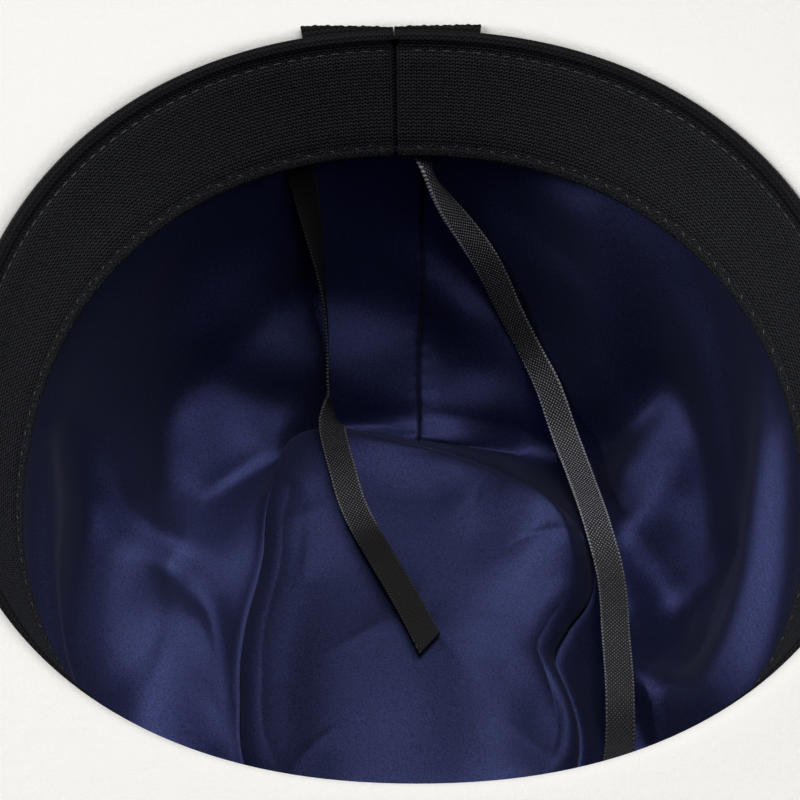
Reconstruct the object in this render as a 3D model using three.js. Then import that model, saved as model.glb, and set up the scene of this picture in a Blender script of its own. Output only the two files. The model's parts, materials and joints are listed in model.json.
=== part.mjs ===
// A felt fedora lying upside down on its crown, open to its satin-lined inside.
//
// Millimetres, +Z up, the back of the hat towards +Y. The ridge of the crown rests on z = 0.
// Angles are degrees counterclockwise round the head opening, with 0 at +X and 90 at the back.
// Depths are measured down into the crown from the sweatband's top edge.

import * as THREE from "three";

// ---- Driving dimensions ----------------------------------------------------------------------

const OPENING_HEIGHT = 114; // the sweatband's top edge above the resting plane
const OVAL_POWER = 2.19; // the head oval is a little squarer than an ellipse
const SIDE_DIP = 2.4; // the opening's sides lie this much lower than its front and back
const SIDE_DIP_DEPTH = 40; // the dip has faded out at this depth

const FELT_THICKNESS = 2.4;
const BREAK_RADIUS = 4; // round turn from the crown's wall into the brim
const BREAK_DEPTH = 2; // where the wall starts that turn
const BRIM_WIDTH = 68;
const BRIM_CURL = { sides: -12, back: -6, front: 5, power: 1.6 }; // height of the brim's edge
const BRIM_RINGS = [BRIM_WIDTH, 48, 28, 13]; // distances out from the wall
const BREAK_TURNS = [90, 55, 25]; // degrees round the break, from level to upright
const FRONT_RISE = { height: 2.8, fadesOver: 30 }; // the break stands higher across the front
const FRONT_SINES = { from: 0.25, full: 0.75 }; // where the front starts, and where it is full

const CLOTH_THICKNESS = 1;
const GAP = 0.35; // between cloth edges that are sewn together

const BAND_HEIGHT = 27;
const BAND_TOP = { halfWidth: 85.5, halfLength: 100.7 };
const BAND_LEAN = { sides: 8.1, ends: 9.1 }; // how far the lower edge stands in
const BAND_BULGE = 0.6;
const BAND_ROWS = [0, 0.5, 1]; // shares of its height
const BAND_SEAM = { angle: 92, opening: 0.6 };
const BAND_FRONT_DROP = 2.2; // its top edge sits this much lower across the front

const RIBBON = { width: 6.3, thickness: 0.6, steps: 26 };

// Columns round the oval, the same for each wall so that sewn edges run side by side.
const COLUMNS = 56;

// ---- Sections of the walls -------------------------------------------------------------------

// The crown's inner face from the opening, down the wall, over the ridge, to the dent.
// run: length along the felt; narrowing: how much the front end draws in to a teardrop.
const CROWN_SECTIONS = [
  { run: 0, depth: 2, halfWidth: 87, back: 102.2, front: 102.2, narrowing: 0 },
  { run: 28, depth: 30, halfWidth: 85, back: 100.2, front: 100.2, narrowing: 0 },
  { run: 58, depth: 60, halfWidth: 82.2, back: 97.2, front: 97, narrowing: 0 },
  { run: 86, depth: 88, halfWidth: 77.5, back: 92.8, front: 91.8, narrowing: 0.05 },
  { run: 102, depth: 103, halfWidth: 71.8, back: 87.6, front: 85.6, narrowing: 0.14 },
  { run: 110, depth: 110, halfWidth: 67.5, back: 83.8, front: 81.4, narrowing: 0.23 },
  { run: 115, depth: 112, halfWidth: 63.5, back: 80.2, front: 77.4, narrowing: 0.29 },
  { run: 120, depth: 112, halfWidth: 59.5, back: 76.6, front: 73.4, narrowing: 0.34 },
  { run: 125, depth: 110, halfWidth: 55.5, back: 73, front: 69.4, narrowing: 0.38 },
  { run: 134, depth: 103.5, halfWidth: 48, back: 66, front: 62, narrowing: 0.42 },
  { run: 144, depth: 99.5, halfWidth: 38, back: 56, front: 51, narrowing: 0.43 },
  { run: 160, depth: 98, halfWidth: 22, back: 36, front: 31, narrowing: 0.4 },
];
const CROWN_STEPS = [0, 18, 38, 58, 74, 86, 95, 103, 110, 115, 120, 126, 134, 145, 160];
const DENT_MIDDLE = { y: 0, depth: 97.6 };

// The two dents that fingers pinch into the front of the crown.
const PINCH = { angles: [-52, -128], depth: 84, push: 15, widthDegrees: 18, tall: 24 };
const LINING_PINCH_SHARE = 0.9;

// The lining's side band where it hangs along the crown's wall.
const LINING_SECTIONS = [
  { run: 0, depth: 12, halfWidth: 84.9, back: 100, front: 100, narrowing: 0 },
  { run: 16, depth: 28, halfWidth: 82.4, back: 97.4, front: 97, narrowing: 0 },
  { run: 38, depth: 50, halfWidth: 79.8, back: 94.8, front: 94.2, narrowing: 0 },
  { run: 60, depth: 72, halfWidth: 76.8, back: 91.8, front: 90.6, narrowing: 0.02 },
  { run: 77, depth: 88, halfWidth: 72.2, back: 87.6, front: 85.6, narrowing: 0.06 },
  { run: 90, depth: 99, halfWidth: 64.5, back: 81, front: 78, narrowing: 0.14 },
];
const LINING_STEPS = [0, 20, 38, 52, 65, 77, 85, 92, 98, 104, 110, 115];
const LINING_FLOOR_RUN = 25; // cloth from the wall's foot to the seam round the tip
const FLOOR_SLOPES = { foot: -0.75, seam: 0.55 };
const SMOOTH_HEM = { run: 14, fade: 10 }; // no folds above this run
const SMOOTH_SEAM = 6; // and none this close to the tip's seam

// The seam between side band and tip, round the tip's own middle.
const TIP_MIDDLE = { x: 0, y: 4, depth: 87.5 };
const TIP_SHOULDER_POWER = 9; // how late the tip falls off towards its seam
const TIP_STEPS = [0.4, 0.68, 0.83, 0.93, 1]; // shares of the way from its middle to the seam
const TIP_SMOOTH_SHARE = 0.12; // its folds fade out over this share, at the seam
const TIP_SEAM = [
  { angle: -90, radius: 66, depth: 95 },
  { angle: -48, radius: 50, depth: 95 },
  { angle: -13, radius: 32, depth: 95 },
  { angle: 5, radius: 34.5, depth: 95 },
  { angle: 20, radius: 43.5, depth: 95.5 },
  { angle: 37, radius: 49, depth: 92 },
  { angle: 62, radius: 50.5, depth: 91 },
  { angle: 90, radius: 56.5, depth: 91 },
  { angle: 114, radius: 65.5, depth: 91 },
  { angle: 128, radius: 53, depth: 91 },
  { angle: 146, radius: 40.5, depth: 92.5 },
  { angle: 170, radius: 36.5, depth: 92.5 },
  { angle: 203, radius: 40, depth: 93 },
  { angle: 228, radius: 50.5, depth: 94 },
  { angle: 270, radius: 66, depth: 95 },
];

// Folds fade towards both ends, and this share of a half wave is left off at each.
const FOLD_END = 0.12;
const FOLD_SAMPLES = 16;

// The side band's folds stand towards this place in the hollow, where there is room for them.
// Where they fall back from it instead, the felt leaves them less room, most of it below.
const FOLDS_TOWARDS = new THREE.Vector3(0, 4, 75);
const FOLD_ROOM = { hollow: 13, wall: 1.8, floor: 4.5, from: 60, to: 95 };

// The side band's main folds: each runs through three places, [angle, run], and stands
// height above the cloth round it, or below where height is negative.
const LINING_FOLDS = [
  { name: "low pillow on the left", through: [[163, 86], [189, 98], [205, 104]], width: 8, height: 11.0 },
  { name: "middle pillow on the left", through: [[159, 75], [158, 94], [166, 94]], width: 10, height: 10.8 },
  { name: "ridge down the right wall", through: [[11, 38], [-10, 70], [-10, 92]], width: 9, height: 11.0 },
  { name: "patch on the right", through: [[43, 76], [38, 83], [41, 93]], width: 11, height: 9.9 },
  { name: "lobe by the right rear", through: [[42, 108], [31, 103], [28, 87]], width: 12, height: 11.0 },
  { name: "lower lobe", through: [[65, 109], [37, 110], [30, 95]], width: 9, height: 11.0 },
  { name: "inner swell on the right", through: [[3, 90], [-6, 95], [-12, 94]], width: 7, height: 5.4 },
  { name: "valley by the left edge", through: [[168, 34], [165, 64], [191, 65]], width: 7, height: -4.1 },
  { name: "diagonal valley on the left", through: [[164, 94], [185, 111], [200, 107]], width: 8, height: -5.0 },
  { name: "border of the dark rear", through: [[125, 62], [149, 80], [160, 94]], width: 10, height: -4.0 },
  { name: "back pocket", through: [[135, 76], [124, 85], [120, 89]], width: 12, height: -5.0 },
  { name: "arc", through: [[127, 73], [114, 53], [95, 65]], width: 7, height: -0.6 },
  { name: "stripe", through: [[121, 62], [109, 77], [88, 76]], width: 13, height: 9.8 },
  { name: "patch right of seam", through: [[88, 49], [84, 58], [78, 64]], width: 7, height: 4.4 },
  { name: "dark diagonal right of seam", through: [[86, 60], [86, 82], [85, 77]], width: 7, height: -2.0 },
  { name: "lower patch right of seam", through: [[95, 87], [80, 92], [75, 76]], width: 13, height: 11.0 },
  { name: "moat dark", through: [[98, 115], [111, 114], [61, 99]], width: 7, height: -3.3 },
  { name: "line on right wall", through: [[43, 28], [31, 41], [13, 67]], width: 9, height: -2.3 },
  { name: "dark zone right", through: [[44, 72], [30, 91], [-9, 98]], width: 23, height: -3.3 },
  { name: "streak", through: [[84, 37], [87, 21], [67, 36]], width: 10, height: -4.5 },
  { name: "strip beside ribbon", through: [[62, 27], [53, 64], [67, 85]], width: 15, height: 8.7 },
  { name: "crease low right", through: [[10, 69], [9, 104], [-17, 106]], width: 7, height: -3.2 },
  { name: "swell low on the right wall", through: [[11, 61], [-4, 78], [-15, 71]], width: 11, height: 6.5 },
  { name: "strip up the left wall", through: [[170, 38], [197, 59], [187, 63]], width: 8, height: 5.6 },
  { name: "swell under the right hem", through: [[73, 27], [50, 29], [33, 45]], width: 10, height: 2.0 },
  { name: "swell on the left rear", through: [[133, 52], [129, 41], [123, 39]], width: 10, height: -2.1 },
  { name: "rim of the middle pillow", through: [[146, 76], [129, 82], [112, 103]], width: 10, height: 8.3 },
  { name: "apex of the right patch", through: [[43, 75], [40, 59], [31, 65]], width: 7, height: -1.5 },
  { name: "foot of the right floor", through: [[18, 100], [-0, 99], [-8, 87]], width: 7, height: 7.1 },
  { name: "second swell low on the left", through: [[188, 82], [174, 97], [197, 113]], width: 8, height: 7.6 },
  { name: "hollow in the middle pillow", through: [[139, 90], [128, 97], [160, 96]], width: 9, height: 11.0 },
];

// The tip's own soft shapes, in x and y: its right shoulder and the gathers beside it.
const TIP_FOLDS = [
  { name: "right shoulder", through: [[13, 51], [29, 38], [24, 4]], width: 12, height: 3.5 },
  { name: "gathers on the right", through: [[34, 14], [32, -12], [26, -28]], width: 8, height: -3.0 },
  { name: "slope on the right", through: [[39, 24], [24, 5], [28, -25]], width: 8, height: -3.0 },
  { name: "swell along the far edge", through: [[-19, 62], [-6, 56], [22, 44]], width: 8, height: 3.5 },
  { name: "low side on the left", through: [[-26, 15], [-28, -19], [-24, -33]], width: 10, height: -2.1 },
  { name: "dip in the middle", through: [[-3, 3], [3, -19], [2, -37]], width: 9, height: -1.0 },
  { name: "swell by the far right", through: [[15, 38], [37, 33], [35, 21]], width: 8, height: 3.5 },
  { name: "dip by the far left", through: [[-23, 38], [-11, 20], [-2, 8]], width: 12, height: -3.0 },
];

// Loose ribbons: points along the middle of each, and where its flat side faces there.
// turn: 0 faces the front, 90 faces +X; lean: 0 faces level, 90 faces up.
const RIBBON_ROUTES = {
  ribbon_left: [
    { x: -28.2, y: 92.6, z: 93, turn: 17, lean: 0 },
    { x: -26, y: 92, z: 82.5, turn: 17, lean: 5 },
    { x: -23.6, y: 89.5, z: 69.1, turn: 50, lean: 3 },
    { x: -21.3, y: 85.1, z: 53.1, turn: 84, lean: 2 },
    { x: -20.3, y: 79.8, z: 42.4, turn: 90, lean: 0 },
    { x: -20.1, y: 74, z: 34, turn: 90, lean: 0 },
    { x: -19.8, y: 69.3, z: 28.5, turn: 84, lean: 10 },
    { x: -18.6, y: 58.3, z: 29.4, turn: 10, lean: 78 },
    { x: -16.3, y: 47.1, z: 29.3, turn: 0, lean: 92 },
    { x: -13.8, y: 37.8, z: 27.5, turn: 0, lean: 91 },
    { x: -10, y: 28, z: 27.3, turn: 0, lean: 90 },
    { x: -5.4, y: 18, z: 27.3, turn: 0, lean: 90 },
    { x: -1.5, y: 9.4, z: 27.3, turn: 0, lean: 90 },
    { x: 1.8, y: 1.5, z: 27.3, turn: 0, lean: 90 },
    { x: 3.8, y: -3.6, z: 27.3, turn: 0, lean: 90 },
  ],
  ribbon_right: [
    { x: 2.8, y: 96, z: 93, turn: 0, lean: 0 },
    { x: 3.1, y: 95.4, z: 88.5, turn: 4, lean: 0 },
    { x: 3.6, y: 94.6, z: 85.8, turn: 22, lean: 0 },
    { x: 4.4, y: 93.2, z: 82.8, turn: 70, lean: 0 },
    { x: 5.4, y: 92.4, z: 79.5, turn: 80, lean: 0 },
    { x: 8.3, y: 91.3, z: 73.5, turn: 66, lean: 0 },
    { x: 14, y: 89.6, z: 64.3, turn: 42, lean: 0 },
    { x: 18.9, y: 88, z: 55.6, turn: 12, lean: 5 },
    { x: 24, y: 84.1, z: 45.2, turn: -14, lean: 8 },
    { x: 28.9, y: 79.1, z: 37.1, turn: -24, lean: 16 },
    { x: 33.1, y: 72.3, z: 31.7, turn: -26, lean: 40 },
    { x: 37.1, y: 63.3, z: 24.2, turn: -10, lean: 60 },
    { x: 40.2, y: 50.3, z: 23.2, turn: 10, lean: 75 },
    { x: 42.8, y: 32.5, z: 26.2, turn: 10, lean: 84 },
    { x: 45.3, y: 19.4, z: 23, turn: 0, lean: 88 },
    { x: 45.4, y: 2.2, z: 21.8, turn: 0, lean: 86 },
    { x: 45.1, y: -13.6, z: 22, turn: 0, lean: 88 },
    { x: 44.5, y: -24.5, z: 16.3, turn: 0, lean: 88 },
    { x: 41, y: -37.2, z: 16.2, turn: 0, lean: 88 },
    { x: 35.5, y: -47, z: 17.4, turn: 0, lean: 88 },
  ],
};

// The seam allowances of the sweatband, standing up behind it.
// reach: how far each end of the tab stands past the band's edge.
const TABS = {
  sweatband_tab_left: { from: 104.4, to: 92.3, reachFrom: 2.1, reachTo: 0.7 },
  sweatband_tab_right: { from: 91.7, to: 81.4, reachFrom: 0.8, reachTo: 1.5 },
};
const TAB = { stepBack: 0.45, leanBack: 0.8, steps: 6 };

// ---- Finishes --------------------------------------------------------------------------------

const FINISHES = {
  felt: { color: 0xf2efea, roughness: 0.95, metalness: 0 },
  sweatband: { color: 0x1b1b1e, roughness: 0.8, metalness: 0 },
  sideSatin: { color: 0x1e2350, roughness: 0.4, metalness: 0 },
  tipSatin: { color: 0x2a3058, roughness: 0.45, metalness: 0 },
  ribbon: { color: 0x151517, roughness: 0.35, metalness: 0 },
};

// ---- Curves and tables -----------------------------------------------------------------------

const UP = new THREE.Vector3(0, 0, 1);

function signedPower(value, power) {
  return Math.sign(value) * Math.abs(value) ** power;
}

function radians(degrees) {
  return THREE.MathUtils.degToRad(degrees);
}

// Reads every column of a table at a value of its key, on a smooth curve through the rows.
function readTable(rows, key, at) {
  const last = rows.length - 1;
  const next = rows.findIndex((row) => row[key] > at);
  const start = next === -1 ? last - 1 : Math.max(next - 1, 0);
  const from = rows[start];
  const to = rows[start + 1];
  const before = rows[Math.max(start - 1, 0)];
  const after = rows[Math.min(start + 2, last)];
  const length = to[key] - from[key];
  const t = THREE.MathUtils.clamp((at - from[key]) / length, 0, 1);
  const result = {};
  for (const column of Object.keys(from)) {
    const slopeFrom = (to[column] - before[column]) / (to[key] - before[key]);
    const slopeTo = (after[column] - from[column]) / (after[key] - from[key]);
    result[column] = hermite(from[column], slopeFrom * length, to[column], slopeTo * length, t);
  }
  return result;
}

function hermite(start, startSlope, end, endSlope, t) {
  const t2 = t * t;
  const t3 = t2 * t;
  const startPart = (2 * t3 - 3 * t2 + 1) * start + (t3 - 2 * t2 + t) * startSlope;
  const endPart = (3 * t2 - 2 * t3) * end + (t3 - t2) * endSlope;
  return startPart + endPart;
}

// A curve through three places, from t = 0 to t = 1.
function throughThree(places, t) {
  const shares = [(1 - t) * (1 - 2 * t), 4 * t * (1 - t), t * (2 * t - 1)];
  const sum = (axis) => shares.reduce((total, share, i) => total + share * places[i][axis], 0);
  return [sum(0), sum(1)];
}

function ovalPoint(angle, halfWidth, halfLength, z) {
  const cos = Math.cos(radians(angle));
  const sin = Math.sin(radians(angle));
  const x = halfWidth * signedPower(cos, 2 / OVAL_POWER);
  const y = halfLength * signedPower(sin, 2 / OVAL_POWER);
  return new THREE.Vector3(x, y, z);
}

// 0 round the sides and back of the head, 1 across the front.
function frontShare(angle) {
  return THREE.MathUtils.smoothstep(-Math.sin(radians(angle)), FRONT_SINES.from, FRONT_SINES.full);
}

function sideDip(angle, depth) {
  const share = THREE.MathUtils.clamp(1 - depth / SIDE_DIP_DEPTH, 0, 1);
  return SIDE_DIP * share * Math.cos(radians(angle)) ** 2;
}

function pinchPush(angle, depth) {
  let push = 0;
  for (const pinchAngle of PINCH.angles) {
    const turn = THREE.MathUtils.euclideanModulo(angle - pinchAngle + 180, 360) - 180;
    const across = (turn / PINCH.widthDegrees) ** 2;
    const along = ((depth - PINCH.depth) / PINCH.tall) ** 2;
    push += PINCH.push * Math.exp(-across - along);
  }
  return push;
}

// A point on a wall section: an oval, drawn in towards the front and at the pinches.
function sectionPoint(angle, section, pinchShare) {
  const sin = Math.sin(radians(angle));
  const halfLength = sin > 0 ? section.back : section.front;
  const z = OPENING_HEIGHT - section.depth - sideDip(angle, section.depth);
  const point = ovalPoint(angle, section.halfWidth, halfLength, z);
  point.x *= 1 - section.narrowing * ((1 - sin) / 2) ** 2;
  const radius = Math.hypot(point.x, point.y);
  const push = pinchShare * pinchPush(angle, section.depth);
  point.x *= 1 - push / radius;
  point.y *= 1 - push / radius;
  return point;
}

// ---- Meshes from grids of points -------------------------------------------------------------

function columnAngles() {
  return Array.from({ length: COLUMNS }, (_, i) => (360 * i) / COLUMNS);
}

// Moves each point of a grid away from the hollow, square to the grid's own surface; the
// last row can move straight down instead.
function offsetGrid(grid, distance, lastRowIsLevel = false) {
  const lastRow = grid.length - 1;
  return grid.map((row, r) => row.map((point, c) => {
    const columns = row.length;
    const along = row[(c + 1) % columns].clone().sub(row[(c + columns - 1) % columns]);
    const below = grid[Math.min(r + 1, lastRow)][c];
    const above = grid[Math.max(r - 1, 0)][c];
    const normal = below.clone().sub(above).cross(along).normalize();
    if (lastRowIsLevel && r === lastRow) normal.copy(UP).negate();
    return point.clone().addScaledVector(normal, distance);
  }));
}

class ClosedMesh {
  constructor() {
    this.positions = [];
    this.triangles = [];
  }

  add(point) {
    this.positions.push(point.x, point.y, point.z);
    return this.positions.length / 3 - 1;
  }

  addAll(points) {
    return points.map((point) => this.add(point));
  }

  quad(a, b, c, d) {
    this.triangles.push(a, b, c, a, c, d);
  }

  // Joins two loops of the same length all the way round.
  bridge(loop, next) {
    for (let i = 0; i < loop.length; i += 1) {
      const j = (i + 1) % loop.length;
      this.quad(loop[i], loop[j], next[j], next[i]);
    }
  }

  fan(centre, loop) {
    for (let i = 0; i < loop.length; i += 1) {
      this.triangles.push(centre, loop[i], loop[(i + 1) % loop.length]);
    }
  }

  // Six times the volume inside the triangles: negative if they face inwards.
  signedVolume() {
    const corner = (index) => new THREE.Vector3().fromArray(this.positions, 3 * index);
    let volume = 0;
    for (let i = 0; i < this.triangles.length; i += 3) {
      const [a, b, c] = this.triangles.slice(i, i + 3).map(corner);
      volume += a.dot(b.cross(c));
    }
    return volume;
  }

  geometry() {
    if (this.signedVolume() < 0) this.triangles.reverse();
    const geometry = new THREE.BufferGeometry();
    geometry.setAttribute("position", new THREE.Float32BufferAttribute(this.positions, 3));
    geometry.setIndex(this.triangles);
    geometry.computeVertexNormals();
    return geometry;
  }
}

// A wall whose rings close on themselves like a tyre: down one face and up the other.
function ringWall(face, back) {
  const mesh = new ClosedMesh();
  const loops = [...face, ...back.toReversed()].map((ring) => mesh.addAll(ring));
  loops.forEach((loop, i) => mesh.bridge(loop, loops[(i + 1) % loops.length]));
  return mesh.geometry();
}

// A bowl or cap: rings from the rim to a middle point, on both faces.
function bowlWall(face, faceMiddle, back, backMiddle) {
  const mesh = new ClosedMesh();
  const faceLoops = face.map((ring) => mesh.addAll(ring));
  const backLoops = back.map((ring) => mesh.addAll(ring));
  const loops = [...backLoops.toReversed(), ...faceLoops];
  for (let i = 1; i < loops.length; i += 1) mesh.bridge(loops[i - 1], loops[i]);
  mesh.fan(mesh.add(backMiddle), loops[0].toReversed());
  mesh.fan(mesh.add(faceMiddle), loops.at(-1));
  return mesh.geometry();
}

// A strip swept through closed sections, with flat ends.
function sweptStrip(sections) {
  const mesh = new ClosedMesh();
  const loops = sections.map((section) => mesh.addAll(section));
  for (let i = 1; i < loops.length; i += 1) mesh.bridge(loops[i - 1], loops[i]);
  const first = loops[0];
  const last = loops[loops.length - 1];
  for (let i = 1; i < first.length - 1; i += 1) {
    mesh.triangles.push(first[0], first[i + 1], first[i]);
    mesh.triangles.push(last[0], last[i], last[i + 1]);
  }
  return mesh.geometry();
}

// ---- Felt body -------------------------------------------------------------------------------

function brimCurl(angle, out) {
  const cos = Math.cos(radians(angle));
  const sin = Math.sin(radians(angle));
  const ends = sin > 0 ? BRIM_CURL.back : BRIM_CURL.front;
  const edgeHeight = BRIM_CURL.sides * cos * cos + ends * sin * sin;
  return edgeHeight * (out / BRIM_WIDTH) ** BRIM_CURL.power;
}

function frontRise(angle, out) {
  return FRONT_RISE.height * frontShare(angle) * (1 - THREE.MathUtils.smoothstep(out, 0, FRONT_RISE.fadesOver));
}

// One ring of the brim or of its break, at a distance out from the wall and a rise above it.
function brimRing(out, rise) {
  const top = CROWN_SECTIONS[0];
  return columnAngles().map((angle) => {
    const lift = rise - sideDip(angle, 0) + brimCurl(angle, out) + frontRise(angle, out);
    return ovalPoint(angle, top.halfWidth + out, top.back + out, OPENING_HEIGHT - BREAK_DEPTH + lift);
  });
}

// The felt's seen face: over the brim from its edge, round the break and down to the dent.
function feltFace() {
  const rings = BRIM_RINGS.map((out) => brimRing(out, BREAK_RADIUS));
  for (const turn of BREAK_TURNS) {
    const out = BREAK_RADIUS * (1 - Math.cos(radians(turn)));
    rings.push(brimRing(out, BREAK_RADIUS * Math.sin(radians(turn))));
  }
  for (const run of CROWN_STEPS) {
    const section = readTable(CROWN_SECTIONS, "run", run);
    rings.push(columnAngles().map((angle) => sectionPoint(angle, section, 1)));
  }
  for (const [column, angle] of columnAngles().entries()) {
    rings[BRIM_RINGS.length + BREAK_TURNS.length][column].z += frontRise(angle, 0);
  }
  return rings;
}

// The outer face keeps the felt's thickness and is pressed flat where the crown rests.
function feltBody() {
  const face = feltFace();
  const back = offsetGrid(face, FELT_THICKNESS);
  for (const point of back.flat()) point.z = Math.max(point.z, 0);
  const middle = new THREE.Vector3(0, DENT_MIDDLE.y, OPENING_HEIGHT - DENT_MIDDLE.depth);
  const backMiddle = middle.clone().addScaledVector(UP, -FELT_THICKNESS);
  return bowlWall(face, middle, back, backMiddle);
}

// ---- Sweatband and its seam tabs -------------------------------------------------------------

function bandPoint(angle, share, outward) {
  const bulge = BAND_BULGE * Math.sin(Math.PI * share);
  const halfWidth = BAND_TOP.halfWidth - BAND_LEAN.sides * share + bulge + outward;
  const halfLength = BAND_TOP.halfLength - BAND_LEAN.ends * share + bulge + outward;
  const drop = BAND_HEIGHT * share + BAND_FRONT_DROP * frontShare(angle) * (1 - share);
  return ovalPoint(angle, halfWidth, halfLength, OPENING_HEIGHT - drop - sideDip(angle, 0));
}

// An open ring: its two ends stand face to face at the back seam.
function sweatband() {
  const halfOpening = THREE.MathUtils.radToDeg(BAND_SEAM.opening / 2 / BAND_TOP.halfLength);
  const start = BAND_SEAM.angle + halfOpening;
  const turn = 360 - 2 * halfOpening;
  const sections = [];
  for (let i = 0; i <= COLUMNS; i += 1) {
    const angle = start + (turn * i) / COLUMNS;
    const face = BAND_ROWS.map((share) => bandPoint(angle, share, 0));
    const back = BAND_ROWS.map((share) => bandPoint(angle, share, CLOTH_THICKNESS));
    sections.push([...face, ...back.toReversed()]);
  }
  return sweptStrip(sections);
}

function seamTab({ from, to, reachFrom, reachTo }) {
  const sections = [];
  for (let i = 0; i <= TAB.steps; i += 1) {
    const share = i / TAB.steps;
    const angle = THREE.MathUtils.lerp(from, to, share);
    const reach = THREE.MathUtils.lerp(reachFrom, reachTo, share);
    const corners = [[0, 0], [0, 1], [1, 1], [1, 0]];
    sections.push(corners.map(([up, out]) => {
      const outward = TAB.stepBack + TAB.leanBack * reach * up + CLOTH_THICKNESS * out;
      const point = bandPoint(angle, 0, outward);
      point.z += GAP + reach * up;
      return point;
    }));
  }
  return sweptStrip(sections);
}

// ---- Lining ----------------------------------------------------------------------------------

// The seam's radius and depth at an angle round the tip: the table runs on past both its ends.
function seamAt(angle) {
  const turned = (degrees) => TIP_SEAM.map((row) => ({ ...row, angle: row.angle + degrees }));
  const rows = [...turned(-360).slice(0, -1), ...TIP_SEAM.slice(0, -1), ...turned(360)];
  return readTable(rows, "angle", THREE.MathUtils.euclideanModulo(angle + 90, 360) - 90);
}

// The foot of the lining's wall at one angle, and how that place lies from the tip's middle.
function wallFoot(angle) {
  const foot = sectionPoint(angle, LINING_SECTIONS.at(-1), LINING_PINCH_SHARE);
  const tipAngle = THREE.MathUtils.radToDeg(Math.atan2(foot.y - TIP_MIDDLE.y, foot.x - TIP_MIDDLE.x));
  return { foot, tipAngle };
}

function tipPoint(tipAngle, share) {
  const seam = seamAt(tipAngle);
  const radius = (seam.radius - GAP) * share;
  const x = TIP_MIDDLE.x + radius * Math.cos(radians(tipAngle));
  const y = TIP_MIDDLE.y + radius * Math.sin(radians(tipAngle));
  const fall = (seam.depth - TIP_MIDDLE.depth) * share ** TIP_SHOULDER_POWER;
  return new THREE.Vector3(x, y, OPENING_HEIGHT - TIP_MIDDLE.depth - fall);
}

// The side band without its folds: down the wall, then over a sagging floor up to the seam.
function sideBandBase(angle, run) {
  const wallRun = LINING_SECTIONS.at(-1).run;
  if (run <= wallRun) {
    return sectionPoint(angle, readTable(LINING_SECTIONS, "run", run), LINING_PINCH_SHARE);
  }
  const { foot, tipAngle } = wallFoot(angle);
  const seam = seamAt(tipAngle);
  const share = (run - wallRun) / LINING_FLOOR_RUN;
  const seamX = TIP_MIDDLE.x + seam.radius * Math.cos(radians(tipAngle));
  const seamY = TIP_MIDDLE.y + seam.radius * Math.sin(radians(tipAngle));
  const footSlope = FLOOR_SLOPES.foot * LINING_FLOOR_RUN;
  const seamSlope = FLOOR_SLOPES.seam * LINING_FLOOR_RUN;
  const z = hermite(foot.z, footSlope, OPENING_HEIGHT - seam.depth, seamSlope, share);
  const x = THREE.MathUtils.lerp(foot.x, seamX, share);
  const y = THREE.MathUtils.lerp(foot.y, seamY, share);
  return new THREE.Vector3(x, y, z);
}

// How far the folds lift a point: most on each fold's line, fading to its sides and ends.
function foldLift(point, folds, placeOn) {
  let lift = 0;
  for (const fold of folds) {
    let nearest = Infinity;
    let nearestT = 0;
    for (let i = 0; i <= FOLD_SAMPLES; i += 1) {
      const t = i / FOLD_SAMPLES;
      const distance = placeOn(...throughThree(fold.through, t), point).distanceTo(point);
      if (distance < nearest) {
        nearest = distance;
        nearestT = t;
      }
    }
    const fadeAlong = Math.sin(Math.PI * THREE.MathUtils.lerp(FOLD_END, 1 - FOLD_END, nearestT));
    lift += fold.height * fadeAlong * Math.exp(-((nearest / fold.width) ** 2));
  }
  return lift;
}

// Holds a fold's height within its room.
function heldLift(lift, run) {
  const share = THREE.MathUtils.smoothstep(run, FOLD_ROOM.from, FOLD_ROOM.to);
  const behind = THREE.MathUtils.lerp(FOLD_ROOM.wall, FOLD_ROOM.floor, share);
  const room = lift < 0 ? behind : FOLD_ROOM.hollow;
  return room * Math.tanh(lift / room);
}

function liningSideBand() {
  const lastRun = LINING_STEPS.at(-1);
  const face = LINING_STEPS.map((run) => columnAngles().map((angle) => {
    const point = sideBandBase(angle, run);
    const belowHem = THREE.MathUtils.smoothstep(run, SMOOTH_HEM.run, SMOOTH_HEM.run + SMOOTH_HEM.fade);
    const aboveSeam = THREE.MathUtils.clamp((lastRun - run) / SMOOTH_SEAM, 0, 1);
    const lift = belowHem * aboveSeam * foldLift(point, LINING_FOLDS, sideBandBase);
    const towards = FOLDS_TOWARDS.clone().sub(point).normalize();
    return point.addScaledVector(towards, heldLift(lift, run));
  }));
  return ringWall(face, offsetGrid(face, CLOTH_THICKNESS, true));
}

function liningTip() {
  const level = (x, y, point) => new THREE.Vector3(x, y, point.z);
  const face = TIP_STEPS.toReversed().map((share) => columnAngles().map((angle) => {
    const point = tipPoint(wallFoot(angle).tipAngle, share);
    const fromSeam = THREE.MathUtils.clamp((1 - share) / TIP_SMOOTH_SHARE, 0, 1);
    point.z += fromSeam * foldLift(point, TIP_FOLDS, level);
    return point;
  }));
  const back = face.map((row) => row.map((point) => point.clone().addScaledVector(UP, -CLOTH_THICKNESS)));
  const middle = new THREE.Vector3(TIP_MIDDLE.x, TIP_MIDDLE.y, OPENING_HEIGHT - TIP_MIDDLE.depth);
  const backMiddle = middle.clone().addScaledVector(UP, -CLOTH_THICKNESS);
  return bowlWall(face, middle, back, backMiddle);
}

// ---- Ribbons ---------------------------------------------------------------------------------

function facingAt(route, t) {
  const rows = route.map(({ turn, lean }, index) => ({ index, turn, lean }));
  const { turn, lean } = readTable(rows, "index", t * (route.length - 1));
  const level = Math.cos(radians(lean));
  const x = level * Math.sin(radians(turn));
  const y = -level * Math.cos(radians(turn));
  return new THREE.Vector3(x, y, Math.sin(radians(lean)));
}

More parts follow.
